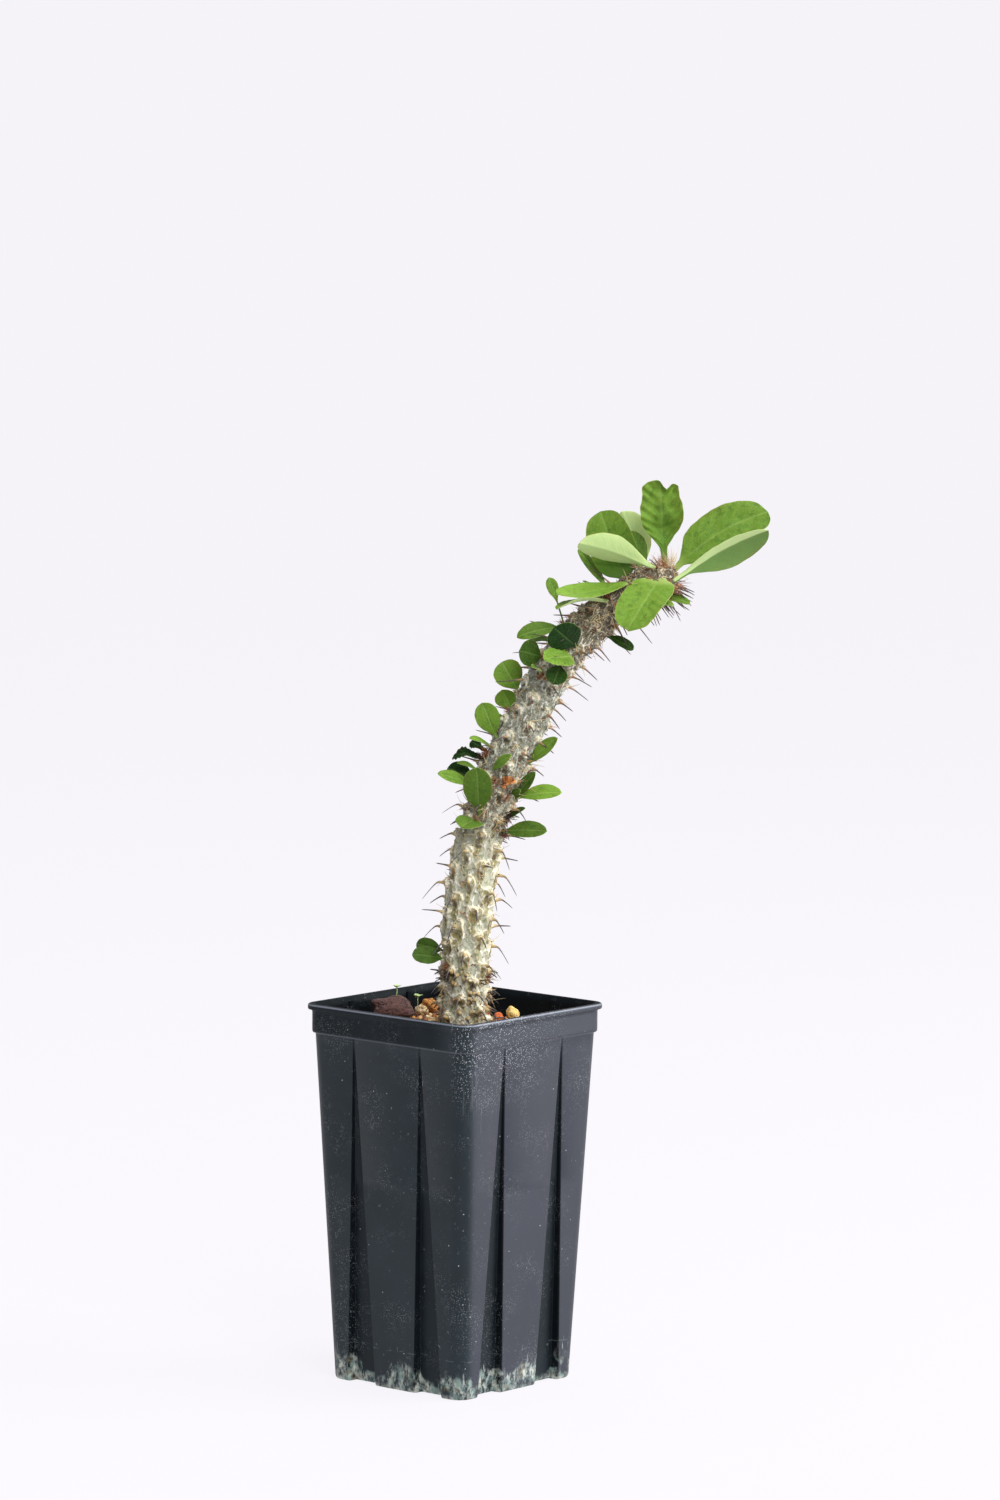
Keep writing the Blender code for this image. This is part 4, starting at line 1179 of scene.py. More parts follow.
def stem_relief(stem, along, turns):
    """Height over the core and the patterns that colour the stem, for every ring and side."""
    shape = (len(along), len(turns))
    lift, crest, face, pit = (np.zeros(shape) for _ in range(4))
    core = stem.core(along)
    draw = random.Random(11)
    noise.seed_set(11)
    spots = [[Vector((8 * math.cos(t), 8 * math.sin(t), a)) * 0.3 for t in turns] for a in along]
    warp = TUBERCLE_WAVER * np.array([[noise.noise_vector(spot) for spot in row] for row in spots])
    for foot, angle, size in stem.tubercles:
        high, half, tail, arch, *_ = stem.zone(foot)
        high, half = high * size, half * size
        rows = np.nonzero(np.abs(along - foot) < tail + 4)[0]
        if not len(rows):
            continue
        gap = (turns - angle + math.pi) % math.tau - math.pi
        v = (along[rows] - foot)[:, None] + warp[rows][..., 0]
        u = gap[None, :] * core[rows][:, None] + warp[rows][..., 1]
        below = np.clip(-v / tail, 0, 1)
        width = half * np.where(v > 0, 1.0, (1 - below) ** 0.6)
        reach = np.where(v > 0, np.hypot(u / half, v / arch), np.abs(u) / np.maximum(width, 0.05))
        fade = np.where(v > 0, 1.0, np.sqrt(1 - below))
        inner = np.clip((1.0 - reach) / 0.3, 0, 1)
        inner = inner * inner * (3 - 2 * inner)
        rim = np.exp(-(((reach - 0.82) / 0.17) ** 2)) * fade
        lopsided = 1 + 0.35 * np.sin(gap[None, :] * 2.0 + foot)
        cone = np.exp(-((u / 1.35) ** 2 + ((v - 0.3) / 1.5) ** 2))
        spur = np.exp(-np.hypot(u / 1.0, v / 1.1))
        hollow = np.exp(-((u / (0.5 * half)) ** 2 + ((v + 0.3 * tail) / (0.2 * tail)) ** 2))
        domes = 0.42 * inner * fade + 0.42 * rim * lopsided + 0.55 * cone + 0.55 * spur
        raised = high * (domes - 0.34 * hollow)
        lift[rows] = np.maximum(lift[rows], raised)
        crest[rows] = np.maximum(crest[rows], rim * np.exp(-below * 1.2) * 0.9 + 0.8 * cone)
        face[rows] = np.maximum(face[rows], inner * fade * (1 - cone) * (1 - 0.8 * rim))
        pit[rows] = np.maximum(pit[rows], hollow * 0.8)
        for k in range(draw.choice((2, 3, 3, 4))):
            du, dv = draw.uniform(-0.4, 0.4) * half, -tail * (0.3 + 0.18 * k) + draw.uniform(-0.5, 0.5)
            mark = np.exp(-(((u - du) / 0.5) ** 2 + ((v - dv) / 0.55) ** 2))
            pit[rows] = np.maximum(pit[rows], mark)
            lift[rows] = lift[rows] - 0.35 * mark
    return lift, crest, face, pit


def stem_mesh(stem):
    along = np.concatenate([[-BURIED], np.linspace(-1.5, stem.length - 0.4, STEM_RINGS)])
    turns = math.tau * np.arange(STEM_SIDES) / STEM_SIDES
    lift, crest, face, pit = stem_relief(stem, along, turns)
    core = stem.core(along)
    soft = np.minimum(1.0, core / 5.0)[:, None]
    rough = np.interp(along, [0, 90, 110, 160, 224], [0.7, 0.6, 1.2, 1.5, 1.5])
    rings, weave = [], np.zeros_like(lift)
    for i, a in enumerate(along):
        centre, right, near, _ = stem.frame(a)
        ring = []
        for j, turn in enumerate(turns):
            x, y = core[i] * math.cos(turn), core[i] * math.sin(turn)
            spot = Vector((x, y, a))
            net = 1 - abs(noise.noise(Vector((x * 0.55, y * 0.55, a * 0.22))) * 2.2)
            crumb = noise.fractal(spot * 0.7, 0.8, 2.1, 3)
            fleck = noise.noise(spot * 1.5)
            weave[i, j] = net
            bump = 0.22 * max(0.0, net - 0.55) * 2 + rough[i] * (0.35 * crumb + 0.22 * fleck)
            reach = core[i] + soft[i, 0] * (lift[i, j] + bump)
            out = right * math.cos(turn) + near * math.sin(turn)
            ring.append(centre + out * reach)
        rings.append(ring)
    mesh = tube(rows_to_row(np.array(rings)))
    patterns = {
        "crest": crest,
        "face": face,
        "pit": pit,
        "weave": weave,
        "lift": lift,
        "height": np.repeat(along[:, None], STEM_SIDES, 1) / stem.length,
        "prickly": np.repeat(np.interp(along, PRICKLY_AT, PRICKLY)[:, None], STEM_SIDES, 1),
    }
    for key, values in patterns.items():
        store_values(mesh, key, values)
    return mesh


def bark_finish(skin):
    """Grey-green bark: cream tubercle edges, olive faces and brown pits, darker and rougher with height, with
    painted shade in the low ground between the tubercles.
    """
    paint = Finish("stem_bark")
    names = ("crest", "face", "pit", "lift", "height", "weave")
    crest, face, pit, lift, height, weave = (paint.attribute(name) for name in names)
    broad = paint.cloud(4.0, 4.0, rough=0.65)
    fine = paint.cloud(1.1, 4.0, rough=0.7)
    speck = paint.cloud(0.75, 2.0, rough=0.8)
    upper = paint.step(height, 0.33, 0.5)
    top = paint.step(height, 0.66, 0.85)

    low = paint.mix(paint.step(broad, 0.35, 0.65), tuple(skin.grey), shade(212, 207, 186))
    # Painted shade: the low ground between the tubercles is painted darker where the broad pattern is high.
    hollow_painted_shade = paint.step(lift, 0.7, 0.05) * paint.step(broad, 0.4, 0.6)
    low = paint.mix(hollow_painted_shade * 0.6, low, shade(128, 140, 116))
    low = paint.mix(paint.step(fine, 0.55, 0.72) * 0.5, low, shade(112, 118, 92))
    olive = paint.step(face, 0.02, 0.4) * (paint.step(broad, 0.7, 0.35) * 0.6 + 0.3)
    low = paint.mix(olive, low, tuple(skin.olive))
    low = paint.mix(paint.step(weave, 0.78, 0.95) * 0.75, low, shade(238, 234, 222))
    edges = paint.step(crest, 0.35, 0.95) * paint.step(fine, 0.3, 0.55)
    low = paint.mix(edges * 0.85, low, tuple(skin.cream))
    grime = paint.step(paint.cloud(1.4, 5.0, rough=0.8), 0.56, 0.66)
    low = paint.mix((grime * 0.8 + paint.step(height, 0.14, 0.03) * grime).least(1.0), low, shade(88, 72, 38))
    moss = paint.step(paint.cloud(3.2, 4.0, rough=0.75, at=paint.shifted(5.0, 2.0, 9.0)), 0.54, 0.64)
    low = paint.mix(moss * 0.75, low, shade(110, 116, 78))

    high = paint.mix(paint.step(fine, 0.38, 0.6), shade(144, 148, 124), shade(214, 214, 198))
    high = paint.mix(paint.step(broad, 0.52, 0.72) * 0.75, high, shade(100, 98, 64))
    # Painted shade in the low ground between the tubercles of the upper stem.
    high = paint.mix(paint.step(lift, 0.8, 0.1) * 0.6, high, shade(78, 78, 62))
    high = paint.mix(paint.step(speck, 0.52, 0.64) * 0.75, high, tuple(skin.bark))
    high = paint.mix(paint.step(weave, 0.78, 0.97) * 0.75, high, shade(214, 214, 208))
    high = paint.mix(paint.step(crest, 0.5, 0.95) * 0.55, high, shade(190, 170, 132))
    high = paint.mix(moss * 0.75, high, shade(66, 64, 42))

    peak = paint.mix(paint.step(fine, 0.4, 0.62), shade(84, 70, 50), shade(172, 158, 128))
    peak = paint.mix(paint.step(speck, 0.46, 0.58) * 0.9, peak, shade(40, 30, 24))
    # Painted shade in the low ground of the top, where the broad pattern is high.
    peak = paint.mix(paint.step(lift, 0.9, 0.2) * paint.step(broad, 0.4, 0.6) * 0.7, peak, shade(46, 36, 26))
    peak = paint.mix(paint.step(weave, 0.86, 0.98) * 0.7, peak, shade(224, 214, 190))
    base = paint.mix(upper, low, high)
    budding = paint.step(abs(height - 0.42), 0.1, 0.03)
    budding = budding * paint.step(paint.cloud(1.8, 4.0, rough=0.8), 0.44, 0.56)
    base = paint.mix(budding * 0.75, base, shade(62, 48, 34))
    base = paint.mix(top * 0.85, base, peak)
    spots = paint.step(paint.cells(1.5), 0.28, 0.12) * paint.step(paint.cloud(3.0, 2.0), 0.45, 0.6)
    base = paint.mix(spots * 0.85, base, shade(70, 56, 36))
    pits = paint.step(pit, 0.2, 0.6) * (paint.step(broad, 0.35, 0.6) * 0.6 + 0.25)
    base = paint.mix(pits, base, shade(66, 52, 26))
    relief = fine * 0.6 + speck * 0.5 + paint.step(weave, 0.6, 0.95) * 0.6
    return paint.done(base, 0.72 + fine * 0.2, paint.bump(relief, 0.6, 0.35))


def spine_finish(skin):
    """A spine: straw or rust at its foot, near black at its point; tint moves it to the rusty upper kind."""
    paint = Finish("spine_horn")
    run, tint = paint.attribute("run"), paint.attribute("tint")
    foot = paint.mix(tint, tuple(skin.spine_foot), shade(134, 90, 70))
    point = paint.mix(tint, tuple(skin.spine_tip), shade(58, 34, 36))
    base = paint.mix(paint.step(run, 0.14, 0.48), foot, point)
    streak = paint.cloud(0.5, 3.0)
    base = paint.mix(paint.step(streak, 0.5, 0.7) * 0.4, base, shade(206, 184, 140))
    base = paint.mix(paint.step(run, 0.5, 0.8), base, point)
    return paint.done(base, 0.45 + streak * 0.2, paint.bump(streak, 0.3, 0.1))


def bristle_finish():
    """Bristles by their tint: dark brown, rust, then straw and yellow-green."""
    paint = Finish("bristle")
    run, tint = paint.attribute("run"), paint.attribute("tint")
    tones = [
        (0.0, shade(40, 30, 26)),
        (0.2, shade(74, 46, 34)),
        (0.42, shade(128, 62, 40)),
        (0.58, shade(178, 116, 66)),
        (0.8, shade(206, 184, 138)),
        (1.0, shade(200, 190, 146)),
    ]
    base = paint.node("ShaderNodeValToRGB", {"stops": tones}, {0: tint})
    base = paint.mix(run * 0.35, base, shade(80, 44, 36))
    return paint.done(base, 0.6 + run * 0.1)


def spines_tree():
    """One spine on each point, along its aim; the tip sags past a bend by the point's sag."""
    tree = Growth(
        "spines",
        {
            "Radius": ("Float", 0.0003),
            "Sides": ("Int", 7),
            "Steps": ("Int", 12),
            "Bend From": ("Float", 0.3),
            "Material": ("Material", None),
        },
    )
    needle = tree.needle(1.0, 0.5, tree.given("Sides"), tree.given("Steps"), 1.9)
    girth = tree.named("girth") * tree.given("Radius")
    size = tree.triple(girth, girth, tree.named("reach"))
    spines = tree.aimed(tree.given("Geometry"), needle, tree.named("aim", "FLOAT_VECTOR"), size)
    run, start = tree.named("run"), tree.given("Bend From")
    bent = ((run - start).most(0.0) / (1.0 - start)) ** 1.15
    return tree.finish(spines, tree.times(tree.named("sag", "FLOAT_VECTOR"), bent))


def tufts_tree():
    """A tuft of bristles on each point, splayed round its aim."""
    tree = Growth(
        "tufts",
        {
            "Radius": ("Float", 0.0001),
            "Seed": ("Int", 1),
            "Material": ("Material", None),
        },
    )
    cloud = tree.node("GeometryNodeMeshToPoints", None, {"Mesh": tree.given("Geometry")})
    amount = tree.named("count", "INT")
    count = tree.node(
        "GeometryNodeDuplicateElements", {"domain": "POINT"}, {"Geometry": cloud, "Amount": amount}
    )
    seed = tree.given("Seed")
    loose = tree.chance((-1.0, -1.0, -1.0), (1.0, 1.0, 1.0), seed, "FLOAT_VECTOR")
    offset = tree.times(loose, tree.named("spread"))
    points = tree.node("GeometryNodeSetPosition", None, {"Geometry": count, "Offset": offset})
    splay = tree.chance((-0.75, -0.75, -0.75), (0.75, 0.75, 0.75), seed + 1.0, "FLOAT_VECTOR")
    wide = tree.times(loose, 0.7)
    aim = tree.vector("ADD", tree.vector("ADD", tree.named("aim", "FLOAT_VECTOR"), splay), wide)
    needle = tree.needle(1.0, 0.25, 4, 3, 0.0)
    reach = tree.named("reach") * tree.chance(0.45, 1.1, seed + 2.0)
    girth = tree.given("Radius") * tree.chance(0.7, 1.6, seed + 3.0)
    size = tree.triple(girth, girth, reach)
    tufts = tree.aimed(points, needle, aim, size)
    tint = tree.named("tint") + tree.chance(-0.14, 0.14, seed + 4.0)
    return tree.finish(tree.store(tufts, "tint", tint, "INSTANCE"))


def prickles_tree():
    """Small prickles or fibres scattered where the stem is prickly, leaning any way from its skin."""
    tree = Growth(
        "prickles",
        {
            "Density": ("Float", 100000.0),
            "Length": ("Float", 0.001),
            "Radius": ("Float", 0.0001),
            "Lean": ("Float", 0.8),
            "Lift": ("Float", 1.0),
            "Seed": ("Int", 1),
            "Tone": ("Float", 0.3),
            "Curl": ("Float", 0.0),
            "Material": ("Material", None),
        },
    )
    scatter = tree.tree.nodes.new("GeometryNodeDistributePointsOnFaces")
    seed = tree.given("Seed")
    tree.feed(tree.pick(scatter.inputs, "Mesh"), tree.given("Geometry"))
    tree.feed(tree.pick(scatter.inputs, "Density"), tree.given("Density") * tree.named("prickly"))
    tree.feed(tree.pick(scatter.inputs, "Seed"), seed)
    normal = tree.times(Wire(tree, scatter.outputs["Normal"]), tree.given("Lift"))
    loose = tree.chance((-1.0, -1.0, -1.0), (1.0, 1.0, 1.0), seed + 1.0, "FLOAT_VECTOR")
    aim = tree.vector("ADD", normal, tree.times(loose, tree.given("Lean")))
    needle = tree.needle(1.0, 0.3, 4, 5, 0.6)
    reach = tree.given("Length") * tree.chance(0.4, 1.3, seed + 2.0)
    girth = tree.given("Radius") * tree.chance(0.7, 1.4, seed + 3.0)
    size = tree.triple(girth, girth, reach)
    points = Wire(tree, scatter.outputs["Points"])
    prickles = tree.aimed(points, needle, aim, size)
    tint = tree.given("Tone") + tree.chance(-0.25, 0.3, seed + 4.0)
    prickles = tree.store(prickles, "tint", tint, "INSTANCE")
    sway = tree.chance((-1.0, -1.0, -1.0), (1.0, 1.0, 1.0), seed + 5.0, "FLOAT_VECTOR")
    sway = tree.times(sway, reach * tree.given("Curl"))
    prickles = tree.store(prickles, "sway", sway, "INSTANCE", "FLOAT_VECTOR")
    return tree.finish(prickles, tree.times(tree.named("sway", "FLOAT_VECTOR"), tree.named("run") ** 2.0))


def point_cloud(name, rows, vectors, numbers, whole=()):
    """A mesh of loose points with attributes, for a tree to grow on."""
    mesh = bpy.data.meshes.new(name)
    mesh.from_pydata([tuple(row["place"]) for row in rows], [], [])
    for key in vectors:
        store_values(mesh, key, [tuple(row[key]) for row in rows], "FLOAT_VECTOR")
    for key in numbers:
        store_values(mesh, key, [row[key] for row in rows])
    for key in whole:
        attribute = mesh.attributes.new(key, "INT", "POINT")
        attribute.data.foreach_set("value", [row[key] for row in rows])
    obj = bpy.data.objects.new(name, mesh)
    bpy.context.scene.collection.objects.link(obj)
    return obj


def spine_rows(stem):
    """Where each spine stands, how it aims, how long it is and how far its tip sags."""
    draw = random.Random(23)
    rows = []
    for along, angle, _ in stem.tubercles:
        high, _, _, _, reach, sag, girth = stem.zone(along)
        place, out, direction = stem.spot(along, angle, high * 0.75)
        spread = 0.12 + 0.12 * min(1.0, along / 150)
        upper = min(1.0, max(0.0, (along - 90) / 60))
        tilt = draw.uniform(-spread, spread) + np.interp(along, [90, 140], [0.08, -0.15])
        tilt += 0.3 * math.cos(angle) * upper
        swing = draw.uniform(-spread, spread)
        side = out.cross(direction)
        aim = (out + direction * tilt + side * swing).normalized()
        long = reach * draw.uniform(0.72, 1.15)
        sag *= draw.choice((0.15, 0.8, 1.0, 1.2))
        down = -direction * sag + side * draw.uniform(-0.12, 0.12)
        rows.append(
            {
                "place": to_row(place - aim * 0.5) * MM,
                "aim": to_row(aim),
                "sag": to_row(down * long - aim * (long * sag * 0.3)) * MM,
                "reach": long * MM,
                "girth": girth * draw.uniform(0.85, 1.15),
                "tint": float(np.interp(along, [85, 130], [0.0, 0.85])) * draw.uniform(0.8, 1.0),
            }
        )
    for _ in range(CLAWS):
        along, angle = draw.uniform(-1.0, 24.0), draw.uniform(0, math.tau)
        reach, tilt = draw.uniform(2.5, 5.0), draw.uniform(-0.7, 0.3)
        rows.append(extra_spine(stem, draw, along, angle, reach, tilt, 1.1, 0.0))
    for _ in range(TIP_SPINES):
        along, angle = draw.uniform(stem.length - 17, stem.length - 1.5), draw.uniform(-2.4, 0.9)
        ahead = (along - stem.length + 15) / 15
        reach, tilt = draw.uniform(8, 12.5), ahead * draw.uniform(0.2, 1.6)
        rows.append(extra_spine(stem, draw, along, angle, reach, tilt, 0.8, draw.uniform(0.8, 1.0)))
    return rows


def extra_spine(stem, draw, along, angle, reach, tilt, girth, tint):
    """A claw or spine that stands apart from the tubercles' rows."""
    place, out, direction = stem.spot(along, angle, 0.6)
    side = out.cross(direction)
    aim = (out + direction * tilt + side * draw.uniform(-0.3, 0.3)).normalized()
    return {
        "place": to_row(place) * MM,
        "aim": to_row(aim),
        "sag": to_row(-direction * reach * draw.uniform(0.0, 0.3) * (1 - tint)) * MM,
        "reach": reach * MM,
        "girth": girth * draw.uniform(0.8, 1.1),
        "tint": tint,
    }


def tuft_rows(stem, table):
    """Where each bristly bud stands, which way it looks and what its bristles are like."""
    rows = []
    for along, degrees, spread, count, reach, tint in table:
        place, out, direction = stem.spot(along, math.radians(degrees), 0.6)
        rows.append(
            {
                "place": to_row(place) * MM,
                "aim": to_row((out + direction * 0.1).normalized()),
                "spread": spread * 0.55 * MM,
                "reach": reach * MM,
                "tint": tint,
                "count": count,
            }
        )
    return rows


# ---------------------------------------------------------------- leaves


def smooth_table(table, shares):
    """The table's values at the shares, along a curve with no overshoot."""
    x, y = (np.array(column, float) for column in zip(*table))
    slope = np.diff(y) / np.diff(x)
    bend = np.zeros_like(y)
    for i in range(1, len(x) - 1):
        if slope[i - 1] * slope[i] > 0:
            bend[i] = 2 * slope[i - 1] * slope[i] / (slope[i - 1] + slope[i])
    bend[-1] = slope[-1] * 1.6
    i = np.clip(np.searchsorted(x, shares) - 1, 0, len(x) - 2)
    h = x[i + 1] - x[i]
    t = (shares - x[i]) / h
    return (
        y[i] * (1 + 2 * t) * (1 - t) ** 2
        + h * bend[i] * t * (1 - t) ** 2
        + y[i + 1] * t * t * (3 - 2 * t)
        + h * bend[i + 1] * t * t * (t - 1)
    )


def leaf_mesh(name, foot, tip, width, face, arch, fold, outline, tone, thickness):
    """A leaf blade with its stalk: rings round its cross-section from the foot to the tip."""
    traits = LEAF_TRAITS.get(name, PLAIN_TRAITS)
    notch, notch_place, pucker, wave, sweep, skew, foot_painted_shade, half_painted_shade = traits
    stations, lanes = BIG_LEAF_GRID if width > BIG_LEAF_WIDTH else SMALL_LEAF_GRID
    axis = tip - foot
    size = axis.length
    ahead = axis.normalized()
    up = (face - ahead * face.dot(ahead)).normalized()
    side = ahead.cross(up)
    seed = sum(map(ord, name)) * 0.37
    shares = 1 - (1 - np.linspace(0, 0.998, stations)) ** 1.35
    halves = np.maximum(smooth_table(OUTLINES[outline], shares) * width / 2, 0.05)
    lane = -np.cos(np.linspace(0, math.pi, lanes))
    rings, uv, under, gloom = [], [], [], []
    for run, half in zip(shares, halves):
        bow, swerve = arch * 4 * run * (1 - run), sweep * 4 * run * (1 - run)
        middle = foot + axis * run + up * bow + side * swerve
        blade = min(1.0, max(0.0, (run - 0.14) / 0.25))
        above, below = [], []
        for v in lane:
            x = v * half * (1 + skew * v)
            off = 2 * x / width - notch_place
            dent = notch * size * (math.exp(-((off / 0.2) ** 2)) + 0.45 / (1 + math.exp(-off * 12))) * run**8
            spread = Vector((x * 0.22 + seed, run * size * 0.16, seed))
            swell = noise.noise(spread) * 0.9 * pucker * blade
            ripple = math.cos(math.tau * (run * 9 - abs(v) * 1.6))
            quilt = 0.16 * pucker * ripple * min(1.0, abs(v) * 2.5) * blade
            ruffle = wave * 0.55 * v * abs(v) * math.sin(run * 9.0 + seed + (1.2 if v > 0 else 0.0)) * blade
            rise = fold * half * abs(v) ** 1.4 + swell + quilt + ruffle
            crease = -0.24 * math.exp(-((x / 0.55) ** 2)) * blade
            rib = 0.34 * math.exp(-((x / 0.7) ** 2)) * (1 - 0.6 * run)
            thick = thickness * (0.22 + 0.78 * (1 - v * v) ** 0.6) * (1.0 if half > 0.6 else half / 0.6)
            stalk = 0.55 * (1 - blade) * (1 - v * v) ** 0.5
            spot = middle + side * x + up * rise - ahead * dent
            above.append(spot + up * (thick / 2 + crease + stalk * 0.4))
            below.append(spot - up * (thick / 2 + rib + stalk))
        rings.append(above + below[::-1])
        flat = [((v + 1) / 2, run) for v in lane]
        uv += flat + flat[::-1]
        under += [0.0] * lanes + [1.0] * lanes
        # Painted shade: how much darker the foot and one half of the leaf are painted.
        foot_shade_share = foot_painted_shade * max(0.0, 1 - run / 0.75) * 1.6
        shade_share = [min(1.0, foot_shade_share + abs(half_painted_shade) * (v * half_painted_shade > 0)) for v in lane]
        gloom += shade_share + shade_share[::-1]
    mesh = tube(rows_to_row(np.array(rings)))
    store_values(mesh, "under", under)
    store_values(mesh, "tone", [tone] * len(under))
    store_values(mesh, "size", [size] * len(under))
    store_values(mesh, "gloom", gloom)
    layer = mesh.uv_layers.new(name="blade")
    corners = np.zeros(len(mesh.loops), np.int32)
    mesh.loops.foreach_get("vertex_index", corners)
    layer.data.foreach_set("uv", np.array(uv, np.float32)[corners].ravel())
    return mesh


def leaf_finish(name, leaf, gloss):
    """A leaf: pale midrib and veins on a mottled green face, a paler underside and a thin tinged edge, with
    painted shade at the foot and on one half of some leaves.
    """
    paint = Finish(name, specular_ior_level=0.09, subsurface_weight=0.15, subsurface_scale=0.0012)
    flat = paint.node("ShaderNodeUVMap", {"uv_map": "blade"})
    across, run, _ = paint.axes(flat)
    under, tone = paint.attribute("under"), paint.attribute("tone")
    side = abs(across - 0.5) * 2.0
    broad = paint.cloud(3.6, 4.0, rough=0.6)
    fine = paint.cloud(0.9, 3.0)
    net = paint.step(paint.cells(0.85, feature="DISTANCE_TO_EDGE"), 0.16, 0.02)

    def aged(amount, below, old, young):
        """A tone laid over the one below, itself between that of an old, dark leaf and a young, light one;
        the tone is partly age and partly painted light and shade.
        """
        return paint.mix(amount, below, paint.mix(tone, old, young))

    top = paint.mix(tone, tuple(leaf.deep), tuple(leaf.light))
    top = aged(paint.step(broad, 0.35, 0.7) * 0.4, top, scaled(leaf.deep, 0.7), shade(98, 146, 44))
    top = aged(paint.step(fine, 0.45, 0.7) * 0.22, top, shade(56, 104, 42), shade(146, 184, 78))
    top = aged(paint.step(broad, 0.52, 0.36) * 0.65, top, shade(12, 34, 8), shade(84, 124, 38))
    top = aged(net * 0.22, top, shade(60, 98, 40), shade(160, 192, 98))
    branch = run * 9.0 - side * 2.2 + paint.cloud(4.0, 2.0) * 0.9
    saw = abs(branch.maths("FRACT", branch) - 0.5)
    veins = paint.step(saw, 0.16, 0.0) * paint.step(side, 0.98, 0.6) * paint.step(run, 0.18, 0.3)
    small = paint.step(paint.attribute("size"), 34.0, 22.0)
    midrib = paint.step(side, 0.08, 0.02) * (0.2 + small * 0.14)
    stalk = paint.step(run, 0.24, 0.08)
    top = aged(veins * 0.3, top, shade(18, 44, 14), shade(96, 142, 54))
    rib_tone = paint.mix(tone * 0.8 + 0.2, shade(44, 82, 28), tuple(leaf.vein))
    top = paint.mix(midrib.most(stalk * 0.8), top, rib_tone)
    low = paint.mix(tone, shade(84, 130, 60), tuple(leaf.under))
    low = paint.mix(paint.step(fine, 0.4, 0.7) * 0.2, low, shade(156, 190, 104))
    low = paint.mix(veins * 0.05, low, shade(206, 224, 168))
    low = paint.mix(net * 0.12, low, shade(212, 228, 172))
    base = paint.mix(paint.step(under, 0.4, 0.6), top, low)
    rim = paint.step(side, 0.965, 0.995) * paint.step(run, 0.15, 0.3)
    base = aged(rim * 0.5, base, shade(96, 132, 66), tuple(leaf.edge))
    # Painted shade: the foot and one half of some leaves are painted darker.
    base = aged(paint.attribute("gloom") * 0.8, base, shade(10, 26, 6), shade(74, 122, 36))
    relief = fine * 0.3 - veins * 0.25 - net * 0.3 + broad * 0.6
    return paint.done(base, gloss + fine * 0.12, paint.bump(relief, 0.35, 0.25))


def dried_finish():
    """A withered leaf: rust to tan in streaks, with dark flecks."""
    paint = Finish("dried_leaf_curl")
    streak = paint.cloud(1.2, 4.0, stretch=(1.0, 1.0, 3.0))
    base = paint.mix(paint.step(streak, 0.35, 0.65), shade(126, 66, 30), shade(214, 142, 78))
    base = paint.mix(paint.step(paint.cloud(0.6, 3.0), 0.55, 0.7) * 0.6, base, shade(70, 36, 24))
    return paint.done(base, 0.7 + streak * 0.2, paint.bump(streak, 0.5, 0.3))


# ---------------------------------------------------------------- operators


class EUPHORBIA_OT_pot(bpy.types.Operator):
    """Make the square nursery pot with its grooves, band, lip and drain holes"""

    bl_idname = "euphorbia.pot"
    bl_label = "Pot"

    @staticmethod
    def drill(x, y):
        """A cylinder that cuts one drain hole."""
        shape = bmesh.new()
        radius = DRAIN_RADIUS * MM
        bmesh.ops.create_cone(
            shape, cap_ends=True, segments=40, radius1=radius, radius2=radius, depth=DRAIN_DEPTH * MM
        )
        mesh = bpy.data.meshes.new("drill")
        shape.to_mesh(mesh)
        shape.free()
        mesh.transform(Matrix.Translation((x * DRAIN_OFFSET * MM, y * DRAIN_OFFSET * MM, 0.0)))
        cutter = bpy.data.objects.new("drill", mesh)
        bpy.context.scene.collection.objects.link(cutter)
        return cutter

    def execute(self, context):
        settings = context.scene.euphorbia_pot
        mesh = tube(pot_rings(settings))
        pot = put("nursery_pot", mesh, plastic_finish(settings), 40.0)
        cutters = [self.drill(x, y) for x in (-1, 1) for y in (-1, 1)]
        for cutter in cutters:
            hole = pot.modifiers.new("drain", "BOOLEAN")
            hole.solver = "EXACT"
            hole.object = cutter
        graph = context.evaluated_depsgraph_get()
        holed = bpy.data.meshes.new_from_object(pot.evaluated_get(graph), depsgraph=graph)
        pot.modifiers.clear()
        pot.data = holed
        discard(*cutters)
        keep(pot, "pot_plastic", "pot")
        return {"FINISHED"}


class EUPHORBIA_OT_mix(bpy.types.Operator):
    """Fill the pot with its mix and scatter grains over the surface"""

    bl_idname = "euphorbia.mix"
    bl_label = "Potting mix"

    def execute(self, context):
        settings = context.scene.euphorbia_mix
        rings = mix_rings()
        mesh = tube(rings)
        soil = grit_finish("mix_soil", tuple(settings.soil), shade(108, 82, 60), shade(190, 160, 112), 0.9)
        surface = put("mix_bed", mesh, soil)
        open_rows = np.zeros(rings.shape[:2])
        open_rows[6:-2] = 1.0
        store_values(mesh, "open", open_rows)
        inputs = {
            "Spacing": settings.spacing,
            "Grain": settings.grain,
            "Seed": settings.seed,
            "Material": grain_finish(settings),
        }
        grains = grown("mix_grains", surface, grains_tree(), inputs)
        grains.data.shade_smooth()
        grains.data.set_sharp_from_angle(angle=math.radians(50))
        keep(surface, "potting_mix", "potting_mix")
        keep(grains, "potting_mix")
        return {"FINISHED"}


